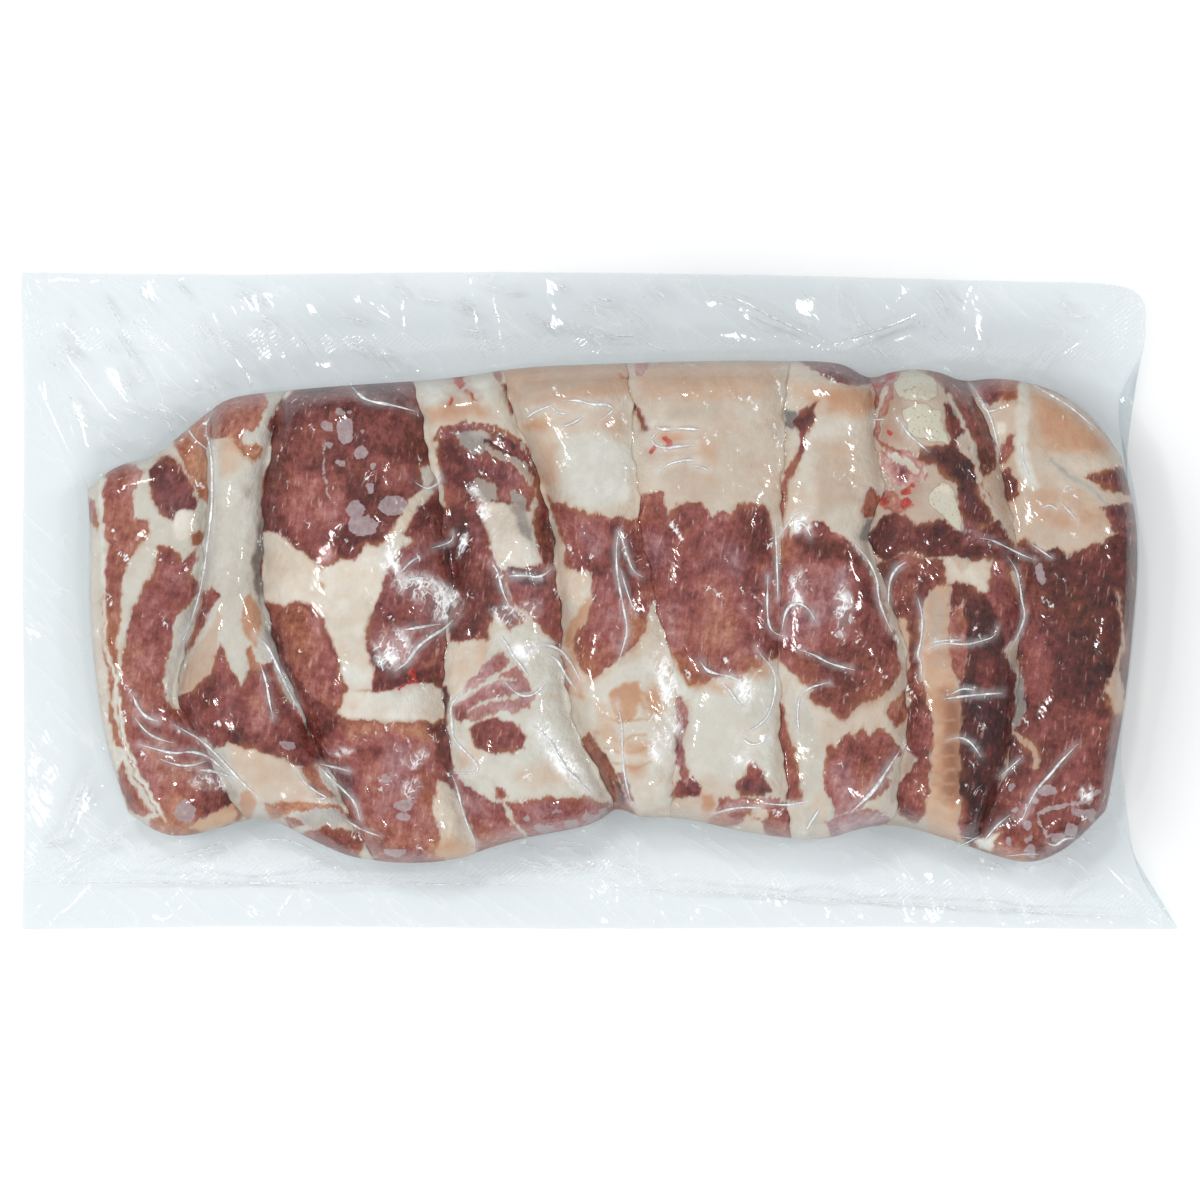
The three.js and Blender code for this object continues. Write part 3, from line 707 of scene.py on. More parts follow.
# ---------------------------------------------------------------------------------------------------------
# The fourth chop: a fat shoulder with a fleck of bright blood, a sunken smoky hollow behind it, ribbons
# of dark red lean, and a broad fat foot with an island of lean.
chop("chop_4", 3, [
    fat(0.55, 0.1),
    tint(0.3, 0.85, [(425, 410), (450, 400), (480, 402), (492, 418), (460, 420), (432, 424)]),
    # Painted highlight: a pale spot on the fat shoulder.
    tint(0.85, 0.0, spot(436, 394, 11, 9)),
    tint(0.75, 0.1, spot(484, 390, 9, 12)),
    lean(-0.2, 0.3, [(420, 375), (445, 375), (462, 376)], 1.6),
    lean(0.5, 1.0, [(453, 397), (447, 406)], 0.8),
    lean(0.5, 1.0, [(466, 392), (476, 398)], 1.2),
    lean(0.2, 0.7, [(493, 369), (500, 364), (504, 375), (500, 382), (496, 378)]),
    lean(-0.1, 0.4, [(503, 385), (508, 398), (511, 411)], 3.0),
    lean(-0.3, -0.45, [
        (436, 440), (445, 427), (462, 423), (480, 427), (500, 432), (520, 442), (532, 465), (536, 490),
        (530, 512), (500, 506), (480, 506), (468, 512), (455, 502), (444, 482), (437, 460),
    ]),
    fat(-0.35, -0.6, [(452, 433), (474, 429), (492, 436), (488, 446), (482, 456), (468, 452), (460, 440)]),
    tint(0.3, -0.7, spot(478, 435, 8, 3, 15)),
    fat(-0.45, 0.1, [(482, 446), (500, 452), (520, 460), (532, 474), (534, 488), (526, 482), (514, 466), (496, 459)]),
    lean(-0.2, -0.5, [(472, 456), (490, 460), (512, 466), (528, 482), (528, 500), (502, 502), (499, 482), (480, 474)]),
    tint(-0.3, -0.4, [(478, 458), (498, 464), (492, 472), (478, 468)]),
    fat(-0.45, -0.3, [(477, 480), (497, 484), (500, 499), (484, 501), (474, 490)]),
    fat(-0.45, -0.6, [(512, 490), (526, 494), (528, 512), (514, 505)]),
    lean(-0.55, -0.2, [
        (436, 440), (455, 438), (462, 455), (472, 474), (470, 504), (457, 520), (446, 505), (437, 470),
    ]),
    tint(-0.1, 0.0, [(438, 480), (460, 484), (462, 505), (442, 505)]),
    lean(-0.25, 0.25, [(436, 438), (441, 430), (452, 425), (466, 421)], 1.6),
    lean(-0.3, 0.2, [(474, 424), (490, 428), (506, 433), (522, 442)], 1.6),
    lean(-1.0, -0.1, [(485, 442), (497, 447), (511, 454)], 2.2),
    lean(-0.8, -0.6, [(494, 436), (508, 440), (516, 447)], 2.4),
    lean(-0.35, 0.1, [
        (521, 440), (535, 458), (547, 480), (558, 508), (563, 545), (564, 572), (550, 574), (540, 552),
        (532, 528), (535, 500), (534, 476), (526, 456),
    ]),
    lean(-0.42, 0.05, [
        (436, 500), (455, 512), (470, 500), (481, 506), (486, 530), (492, 555), (502, 572), (512, 600),
        (524, 622), (510, 629), (496, 612), (491, 626), (486, 642), (478, 652), (468, 642), (452, 640),
        (440, 600), (440, 545),
    ]),
    tint(-0.6, 0.05, [(458, 515), (468, 530), (470, 560), (460, 572), (455, 540)]),
    tint(0.15, -0.6, [(473, 512), (476, 540), (484, 562)], 2.0),
    fat(0.8, 0.4, [
        (482, 503), (500, 502), (515, 506), (520, 522), (524, 540), (538, 552), (540, 562), (532, 568), (512, 562),
        (500, 559), (489, 545), (484, 525),
    ]),
    fat(-0.2, -0.6, [(512, 506), (528, 508), (530, 530), (532, 545), (520, 532), (516, 515)]),
    tint(0.85, 0.2, spot(530, 556, 9, 6, 30)),
    lean(-0.15, -0.1, [(500, 570), (562, 560), (568, 600), (568, 660), (548, 636), (530, 618), (514, 602)]),
    lean(-0.6, -0.75, [(508, 566), (530, 569), (546, 575), (546, 584), (524, 588), (508, 578)]),
    fat(-0.3, -0.6, [(514, 573), (530, 575), (540, 580)], 2.0),
    fat(0.7, 0.4, [(445, 652), (465, 642), (480, 640), (493, 646), (490, 665), (478, 682), (462, 692), (450, 694)]),
    tint(0.5, 0.75, [(480, 642), (493, 648), (488, 666), (476, 682), (480, 660)]),
    lean(0.1, 0.3, [(424, 674), (438, 666), (446, 680), (442, 694), (430, 684)]),
    fat(0.6, -0.2, [(493, 640), (520, 622), (545, 640), (560, 660), (562, 690), (520, 700), (490, 690), (482, 670)]),
    tint(0.0, -0.3, [(490, 655), (510, 650), (520, 680), (498, 682)]),
    fat(0.65, 0.0, [(455, 722), (470, 700), (560, 700), (600, 720), (600, 795), (500, 800), (470, 785), (452, 762)]),
    tint(0.55, 0.6, [(455, 752), (475, 745), (480, 765), (462, 772)]),
    tint(0.55, 0.45, spot(540, 775, 30, 12)),
    lean(0.42, -0.5, [
        (482, 664), (504, 652), (520, 670), (534, 694), (530, 706), (514, 712), (494, 713), (472, 722), (453, 708),
        (462, 690),
    ]),
    tint(0.1, -0.3, [(494, 690), (514, 684), (524, 700), (500, 704)]),
    tint(0.1, -0.4, [(490, 662), (504, 657), (510, 668), (496, 672)]),
    fat(0.55, -0.1, [(458, 699), (480, 688), (502, 672), (514, 664)], 2.2),
    fat(0.5, -0.2, [(464, 712), (486, 702), (510, 698), (532, 694)], 1.6),
    fat(0.45, -0.3, [(478, 680), (494, 678), (514, 680)], 1.2),
    lean(-0.18, -0.1, [
        (468, 731), (475, 721), (495, 718), (515, 722), (526, 735), (524, 748), (510, 753), (490, 754), (475, 745),
    ]),
    lean(-0.1, -0.1, [(452, 706), (465, 706), (467, 716), (460, 722), (453, 718)]),
    lean(0.12, -0.12, [
        (450, 770), (465, 785), (480, 795), (498, 802), (520, 800), (545, 797), (580, 797), (600, 800),
        (616, 806), (616, 820), (590, 832), (540, 845), (505, 852), (480, 860), (474, 846), (466, 824), (456, 798),
    ]),
    tint(0.45, -0.5, [(456, 782), (472, 806), (494, 826), (524, 838)], 1.0),
    tint(0.3, -0.6, [(520, 806), (560, 804), (560, 818), (520, 822)]),
    tint(0.25, 0.7, [(470, 818), (495, 838), (505, 850), (480, 860), (470, 840)]),
    fat(0.5, 0.0, [(466, 768), (492, 780), (502, 800), (513, 822), (528, 838)], 1.6),
    lean(0.1, 0.3, [(495, 786), (503, 787), (509, 797), (500, 800)]),
    lean(-0.8, -0.3, [(446, 690), (443, 715), (445, 740), (449, 768)], 4.0),
    mark("blood", [(455, 375), (464, 376), (467, 384), (461, 389), (456, 383)]),
    mark("blood", [(468, 391), (475, 397)], 1.0),
    mark("blood", [(453, 398), (449, 404)], 0.8),
    *[
        mark("frost", spot(*patch))
        for patch in [
            (545, 828, 10, 5), (572, 824, 8, 5), (555, 813, 4, 3), (527, 818, 4, 3), (592, 820, 8, 6), (604, 812, 5, 5),
        ]
    ],
])

# ---------------------------------------------------------------------------------------------------------
# The fifth chop: fat at its far end, a bright band of lean with a ragged, brown-fringed edge on both sides,
# and tan-veined fat below it.
chop("chop_5", 4, [
    fat(0.55, 0.25),
    tint(0.35, 0.75, [(500, 366), (640, 360), (640, 395), (560, 402), (512, 400)]),
    tint(0.2, 0.3, [(515, 385), (560, 378), (600, 380), (560, 398), (520, 400)]),
    tint(0.35, 1.0, spot(536, 424, 11, 6)),
    tint(0.4, 0.6, spot(612, 425, 16, 22)),
    tint(0.75, -0.15, [(560, 440), (600, 430), (630, 455), (628, 500), (590, 505), (565, 490)]),
    tint(0.4, 0.5, [(535, 440), (556, 445), (556, 500), (545, 490)]),
    lean(0.6, 1.0, [(619, 374), (623, 378), (629, 378)], 1.2),
    fat(0.75, 0.65, [
        (560, 522), (570, 532), (563, 560), (575, 571), (588, 576), (586, 590), (582, 612), (570, 602), (556, 596),
        (551, 586), (556, 572), (560, 545),
    ]),
    fat(0.3, 0.95, [(588, 598), (596, 600), (588, 628), (580, 648), (577, 670), (584, 700), (568, 692), (560, 660), (570, 620)]),
    lean(0.1, 0.7, [(554, 665), (563, 654), (571, 680), (567, 693), (556, 684)]),
    lean(-0.03, 0.08, [
        (546, 494), (553, 504), (563, 502), (572, 509), (583, 508), (592, 514), (602, 513), (608, 518), (622, 515),
        (632, 520), (650, 516), (664, 560), (662, 600), (650, 606), (645, 632), (634, 650), (624, 657), (612, 664),
        (604, 668), (597, 680), (586, 676), (578, 662), (573, 640), (585, 620), (592, 600), (590, 586), (592, 572),
        (578, 572), (566, 566), (563, 545), (557, 526),
    ]),
    tint(-0.3, 0.1, [(605, 520), (640, 525), (636, 600), (618, 600), (606, 560)]),
    tint(0.1, 0.9, [(626, 612), (646, 625), (634, 652), (622, 656)]),
    tint(0.05, 0.85, [(573, 640), (584, 640), (598, 668), (590, 680)]),
    tint(0.15, -0.6, [(605, 615), (622, 610), (622, 650), (610, 655)]),
    tint(0.2, -0.2, [(580, 530), (602, 528), (604, 556), (582, 556)]),
    fat(0.7, 0.1, [(588, 690), (620, 668), (645, 656), (680, 690), (676, 800), (640, 815), (604, 760), (590, 720)]),
    fat(0.35, 0.95, [(610, 692), (622, 684), (640, 682), (642, 700), (632, 722), (618, 724)]),
    tint(0.35, 0.9, spot(654, 700, 11, 14)),
    tint(0.45, 0.9, [(615, 738), (650, 742), (648, 756), (620, 752)]),
    tint(0.25, 0.95, spot(635, 768, 10, 6)),
    *[
        fat(0.2, 0.9, streak, 0.7)
        for streak in [
            [(600, 716), (622, 722), (650, 718)], [(594, 732), (618, 739), (646, 733)],
            [(606, 748), (632, 752), (652, 746)], [(612, 762), (634, 768), (656, 760)],
            [(622, 686), (636, 696), (646, 708)], [(640, 690), (652, 702), (656, 716)],
        ]
    ],
    tint(0.6, 0.6, [(592, 700), (606, 705), (618, 745), (600, 740)]),
    lean(0.0, 0.55, [
        (577, 741), (588, 732), (598, 745), (609, 765), (621, 790), (634, 812), (642, 820), (625, 818), (604, 808),
        (590, 792), (584, 765),
    ]),
    tint(-0.2, 0.35, spot(598, 788, 8, 10)),
    lean(-0.7, 0.1, [(602, 755), (614, 776), (624, 802)], 1.8),
    lean(-0.15, -0.1, [(617, 774), (626, 776), (634, 804), (626, 800)]),
    lean(0.05, -0.45, [(680, 700), (684, 720), (679, 736), (681, 760), (684, 778)], 4.5),
    lean(-0.1, -0.5, [(676, 781), (694, 778), (702, 790), (698, 797), (680, 800), (672, 797)]),
    lean(0.3, 0.75, [(684, 797), (697, 795), (702, 808), (714, 813), (700, 817), (690, 808)]),
])

# ---------------------------------------------------------------------------------------------------------
# The sixth chop: peach fat with a bruise, a deep band of lean that hangs in points into the fat below, and
# a small open pocket near its foot.
chop("chop_6", 5, [
    fat(0.5, 0.3),
    tint(0.35, 0.65, [(632, 360), (780, 360), (776, 400), (700, 402), (640, 398)]),
    tint(0.1, 0.1, [(668, 402), (720, 404), (720, 418), (670, 420)]),
    tint(0.42, 0.25, [(700, 430), (760, 420), (765, 490), (700, 495), (660, 480)]),
    tint(0.45, 0.95, [(655, 430), (682, 430), (682, 444), (660, 446)]),
    tint(0.45, 0.8, [(700, 440), (716, 446), (714, 462), (702, 458)]),
    lean(0.5, 0.15, [(632, 360), (650, 360), (648, 370), (640, 377), (634, 373)]),
    lean(-0.55, 0.1, [(633, 406), (640, 415), (644, 429)], 2.8),
    lean(-0.05, 0.05, [
        (636, 498), (650, 493), (663, 493), (665, 501), (669, 514), (678, 505), (690, 503), (700, 502), (706, 508),
        (713, 516), (720, 509), (727, 509), (733, 516), (738, 503), (752, 502), (766, 506), (771, 512), (774, 530),
        (778, 560), (782, 600), (782, 655), (772, 662), (757, 669), (749, 668), (745, 674), (742, 682), (732, 674),
        (715, 678), (706, 685), (699, 680), (690, 684), (681, 670), (673, 652), (664, 641), (656, 618), (648, 604),
        (636, 595),
    ]),
    tint(0.1, 0.9, [(676, 655), (700, 668), (712, 688), (690, 688)]),
    tint(0.15, 0.7, [(740, 655), (770, 655), (768, 675), (740, 675)]),
    tint(0.1, 0.55, [(700, 575), (735, 580), (735, 650), (705, 650)]),
    tint(0.2, -0.7, [(642, 530), (660, 525), (672, 560), (655, 580), (645, 560)]),
    tint(0.15, -0.5, [(655, 600), (678, 605), (678, 645), (664, 640)]),
    tint(-0.4, 0.0, [(735, 508), (770, 512), (774, 560), (745, 560)]),
    tint(-0.35, 0.05, [(748, 570), (766, 575), (766, 650), (752, 650)]),
    tint(0.15, -0.4, [(722, 545), (745, 545), (742, 580), (725, 575)]),
    fat(0.8, -0.1, [
        (636, 625), (644, 607), (652, 611), (657, 631), (665, 646), (675, 664), (686, 684), (700, 692), (680, 705),
        (650, 700), (620, 680),
    ]),
    tint(0.65, -0.05, [(690, 690), (775, 680), (775, 780), (690, 780)]),
    tint(0.45, 0.95, spot(722, 688, 9, 5)),
    lean(-0.35, -0.5, [(735, 784), (742, 775), (750, 764), (757, 765), (763, 775), (771, 794), (764, 797), (740, 797)]),
    tint(0.2, 0.1, [(746, 770), (757, 767), (760, 780), (750, 780)]),
    lean(0.3, -0.25, [(716, 799), (745, 797), (780, 798), (780, 807), (745, 808), (718, 812)]),
    lean(0.05, 0.35, [
        (718, 812), (740, 808), (762, 806), (800, 800), (812, 806), (810, 830), (795, 842), (772, 838), (760, 824),
        (748, 815), (735, 824), (722, 830), (708, 824),
    ]),
    fat(0.6, 0.4, [(756, 806), (768, 808), (762, 822), (750, 818)]),
    tint(0.3, 0.95, [(708, 812), (724, 812), (726, 830), (708, 828)]),
    fat(0.35, 0.9, [(700, 797), (714, 797), (714, 811), (702, 809)]),
    lean(0.05, -0.45, [(680, 700), (684, 720), (679, 736), (681, 760), (684, 778)], 4.5),
    lean(-0.1, -0.5, [(676, 781), (694, 778), (702, 790), (698, 797), (680, 800), (672, 797)]),
    mark("blood", [(650, 452), (655, 448)], 2.2),
    mark("blood", [(664, 440), (671, 444), (669, 447)], 1.8),
])

# ---------------------------------------------------------------------------------------------------------
# The seventh chop: orange-tinged fat with a dark vessel at its far end, an oval of lean that the frost has
# dulled, with a painted highlight on its right flank, and a second muscle with a ragged top.
chop("chop_7", 6, [
    fat(0.55, 0.25),
    tint(0.35, 1.0, [(822, 388), (870, 385), (884, 400), (866, 420), (830, 414)]),
    tint(0.45, 0.7, [(790, 385), (822, 385), (822, 412), (800, 400)]),
    tint(0.2, 0.4, [(812, 440), (850, 440), (860, 500), (820, 515)]),
    tint(0.45, 0.5, [(776, 400), (786, 430), (786, 560), (776, 560)]),
    lean(-0.1, 0.35, [(776, 366), (784, 363), (788, 375), (784, 390), (780, 412), (774, 405), (773, 385)]),
    tint(-0.7, 0.0, spot(776, 398, 4, 7)),
    fat(-0.5, -1.0, [(783, 409), (795, 410), (800, 420), (794, 429), (784, 428)]),
    lean(-0.5, 0.15, [(791, 420), (799, 411), (808, 404), (816, 401), (816, 415), (810, 431), (803, 433), (798, 428)]),
    lean(-0.3, 0.2, [(803, 432), (804, 445), (798, 456), (794, 466), (786, 473)], 3.6),
    lean(0.1, 0.2, [(794, 464), (786, 482), (783, 505), (781, 522)], 3.4),
    lean(-0.1, -0.55, [(795, 358), (852, 358), (875, 380), (860, 387), (840, 382), (820, 374)]),
    lean(-0.05, 0.05, [
        (783, 548), (794, 534), (806, 527), (815, 519), (826, 525), (840, 534), (855, 545), (866, 560), (877, 580),
        (886, 610), (894, 635), (899, 655), (899, 680), (888, 690), (872, 702), (862, 706), (852, 712), (845, 722),
        (838, 720), (829, 708), (815, 705), (808, 699), (813, 689), (800, 680), (788, 670), (778, 655), (774, 640),
        (776, 600), (778, 565),
    ]),
    tint(0.25, -0.45, [(785, 565), (825, 555), (835, 610), (815, 650), (785, 640)]),
    # Painted highlight: a pale grey streak down the oval's right flank.
    tint(0.35, -0.7, spot(842, 590, 11, 28)),
    tint(-0.3, 0.3, [(800, 655), (895, 640), (895, 690), (850, 715), (815, 700)]),
    tint(-0.5, 0.05, [(790, 535), (850, 545), (868, 565), (820, 560)]),
    tint(-0.45, -0.1, [(862, 580), (882, 600), (880, 650), (862, 640)]),
    lean(0.0, 0.45, [(778, 548), (788, 524), (794, 545), (784, 566)]),
    lean(0.0, 0.5, [(862, 506), (870, 489), (879, 492), (886, 505), (888, 513), (878, 516), (864, 518)]),
    fat(-0.2, -0.7, [(866, 519), (888, 514), (885, 528), (868, 545), (858, 540)]),
    lean(0.0, 0.4, [
        (775, 698), (781, 705), (786, 725), (795, 750), (798, 775), (804, 790), (812, 802), (778, 800), (770, 770),
        (772, 730),
    ]),
    fat(0.38, -0.15, [(790, 680), (806, 705), (822, 740), (824, 800), (816, 840), (806, 838), (800, 780), (792, 730)]),
    tint(0.6, 0.6, spot(816, 804, 6, 8)),
    lean(0.0, 0.08, [
        (825, 790), (827, 750), (833, 744), (837, 750), (842, 738), (850, 733), (855, 739), (862, 727), (872, 735),
        (880, 727), (892, 733), (902, 746), (906, 760), (895, 778), (880, 796), (865, 806), (850, 812), (836, 816),
    ]),
    tint(0.4, -0.65, [(826, 765), (850, 762), (866, 800), (836, 826)]),
    tint(0.15, 0.4, [(860, 765), (885, 760), (875, 790), (862, 790)]),
    lean(0.45, -0.75, [(828, 820), (860, 807), (888, 812), (895, 822), (850, 838), (832, 842)]),
    lean(0.1, 0.4, [(890, 702), (905, 690), (914, 700), (906, 722), (895, 726), (884, 713)]),
    fat(0.6, 0.15, [(888, 778), (896, 757), (906, 754), (920, 757), (921, 768), (906, 778), (898, 782)]),
])

# ---------------------------------------------------------------------------------------------------------
# The eighth chop is cut through the backbone: three sawn ends of bone, blood between them, and a rib
# that runs down its lower half.
chop("chop_8", 7, [
    fat(0.2, 0.3),
    tint(0.0, 0.55, [(866, 372), (900, 372), (900, 440), (870, 440)]),
    tint(0.35, 0.6, [(888, 366), (935, 366), (938, 378), (905, 376)]),
    tint(-0.1, 0.2, [(878, 455), (925, 455), (930, 490), (905, 500), (885, 480)]),
    tint(0.1, 0.35, [(905, 500), (930, 495), (940, 520), (915, 522)]),
    lean(0.72, -0.1, [
        (864, 372), (892, 367), (897, 384), (892, 402), (884, 420), (881, 440), (869, 436), (862, 404),
    ]),
    fat(0.55, 0.1, [(884, 392), (878, 404), (874, 418)], 3.5),
    lean(0.8, -0.35, [
        (880, 452), (905, 447), (926, 462), (924, 478), (905, 486), (890, 482), (880, 468),
    ]),
    fat(0.5, 0.0, [(890, 456), (906, 462), (916, 470)], 3.5),
    lean(0.25, 0.2, [(876, 492), (892, 488), (902, 498), (915, 505), (905, 512), (884, 512)]),
    lean(0.3, -0.05, [(895, 372), (882, 386), (874, 402), (868, 420)], 2.6),
    lean(0.15, -0.1, [(870, 425), (880, 441), (890, 448), (902, 452)], 2.2),
    lean(0.1, 0.2, [(872, 470), (880, 485), (890, 498)], 1.8),
    lean(0.0, 0.1, [(868, 436), (870, 450), (874, 460)], 1.8),
    tint(-0.3, -0.8, spot(901, 472, 5, 6)),
    lean(-0.3, 0.4, [
        (925, 366), (950, 368), (970, 380), (976, 395), (986, 410), (992, 425), (998, 450), (996, 466), (984, 476),
        (975, 466), (970, 446), (965, 430), (960, 415), (952, 400), (944, 388), (934, 377),
    ]),
    lean(-0.7, 0.05, [
        (944, 402), (951, 401), (960, 415), (963, 430), (956, 445), (966, 455), (976, 470), (986, 490), (996, 512),
        (990, 526), (975, 530), (968, 532), (958, 512), (956, 486), (950, 482), (942, 476), (934, 466), (918, 459),
        (920, 449), (940, 447), (950, 440), (946, 424),
    ]),
    tint(-0.55, -0.9, [(958, 478), (972, 482), (978, 508), (962, 505)]),
    tint(0.1, 0.3, spot(938, 474, 8, 4)),
    fat(0.3, 0.0, [(950, 395), (962, 420), (970, 440), (976, 462), (980, 484), (992, 508), (1004, 530)], 2.2),
    lean(-0.62, -0.05, [
        (862, 540), (880, 519), (895, 511), (905, 515), (915, 525), (930, 521), (945, 518), (960, 532), (975, 530),
        (1000, 520), (1010, 540), (1030, 560), (1010, 572), (975, 560), (950, 556), (930, 558), (900, 552), (885, 562),
        (868, 552),
    ]),
    tint(-0.75, 0.1, [(925, 525), (960, 530), (985, 545), (985, 556), (940, 550)]),
    tint(-0.2, -0.9, spot(972, 532, 10, 9)),
    lean(-0.4, 0.2, [
        (876, 565), (900, 553), (925, 558), (946, 560), (944, 574), (948, 585), (940, 592), (928, 597), (920, 620),
        (918, 660), (924, 690), (932, 720), (932, 760), (930, 800), (918, 824), (900, 815), (890, 795), (905, 778),
        (918, 760), (905, 745), (903, 720), (912, 700), (900, 685), (900, 650), (893, 620), (886, 590),
    ]),
    tint(-0.3, 0.1, [(905, 700), (930, 720), (930, 760), (912, 758), (905, 740)]),
    tint(-0.2, 0.05, [(905, 560), (940, 565), (938, 590), (910, 595)]),
    tint(-0.15, 0.45, [(904, 765), (930, 760), (928, 815), (906, 810)]),
    fat(0.5, 0.75, [(903, 622), (906, 655), (901, 682)], 4.0),
    lean(-0.2, -0.15, [
        (985, 560), (1005, 560), (1016, 585), (1024, 606), (1018, 632), (1004, 652), (990, 645), (980, 625), (978, 598),
    ]),
    fat(0.65, 0.3, [
        (944, 557), (955, 565), (962, 573), (972, 562), (984, 558), (991, 560), (989, 580), (986, 593), (975, 591),
        (966, 583), (955, 580), (948, 581),
    ]),
    lean(-0.85, 0.0, [
        (964, 592), (980, 594), (992, 605), (1000, 630), (1006, 655), (1016, 680), (1016, 720), (1004, 772),
        (996, 802), (988, 835), (972, 846), (958, 836), (962, 800), (958, 760), (962, 720), (960, 690), (966, 660),
        (962, 625),
    ]),
    lean(-0.7, 0.0, [(948, 588), (957, 580), (968, 583), (980, 594), (984, 612), (972, 616), (962, 600), (952, 614)]),
    lean(0.05, 0.25, [(946, 612), (962, 606), (968, 640), (964, 682), (950, 680), (944, 645)]),
    tint(-0.7, -0.4, [(1000, 660), (1016, 665), (1018, 710), (1004, 715)]),
    tint(-0.85, 0.15, spot(985, 805, 12, 14)),
    tint(0.1, 0.3, [(944, 800), (968, 805), (964, 835), (944, 832)]),
    tint(-0.3, 0.1, [(975, 655), (990, 655), (994, 690), (980, 690)]),
    fat(0.9, 0.1, [(984, 838), (1002, 832), (992, 850)]),
    fat(0.4, 0.85, [
        (927, 606), (932, 592), (944, 583), (954, 590), (949, 612), (946, 640), (950, 662), (958, 692), (960, 720),
        (961, 760), (958, 790), (957, 815), (962, 842), (945, 844), (928, 834), (925, 815), (932, 790), (934, 760),
        (933, 720), (926, 690), (921, 665), (920, 640),
    ]),
    tint(0.12, 0.4, [(930, 595), (948, 590), (944, 640), (948, 665), (934, 665), (930, 640)]),
    tint(-0.8, 1.0, [(942, 690), (962, 692), (962, 800), (946, 800)]),
    tint(0.1, 1.0, spot(926, 645, 3, 4)),
    *[fat(0.05, 0.8, [(936, y), (954, y - 2)], 1.0) for y in (722, 742, 757, 772, 784, 798)],
    mark("bone", [
        (894, 382), (900, 373), (914, 369), (928, 372), (937, 381), (938, 395), (930, 400), (912, 401), (899, 396),
    ]),
    mark("bone", [
        (902, 412), (911, 405), (926, 404), (938, 411), (945, 426), (948, 443), (936, 443), (922, 439), (908, 432),
    ]),
    mark("bone", [
        (929, 497), (934, 487), (943, 483), (951, 489), (957, 503), (962, 532), (950, 521), (938, 512), (930, 505),
    ]),
    *[
        mark("blood", spot(*fleck))
        for fleck in [
            (889, 376, 4, 5), (875, 386, 7, 2.6), (862, 424, 4, 4), (864, 434, 3, 3.5), (870, 448, 3, 7),
            (890, 433, 2.5, 4), (905, 491, 5, 4), (906, 503, 6, 6), (912, 486, 3, 3), (868, 478, 2.5, 6),
            (856, 431, 3, 2.5), (884, 500, 3, 5),
        ]
    ],
])

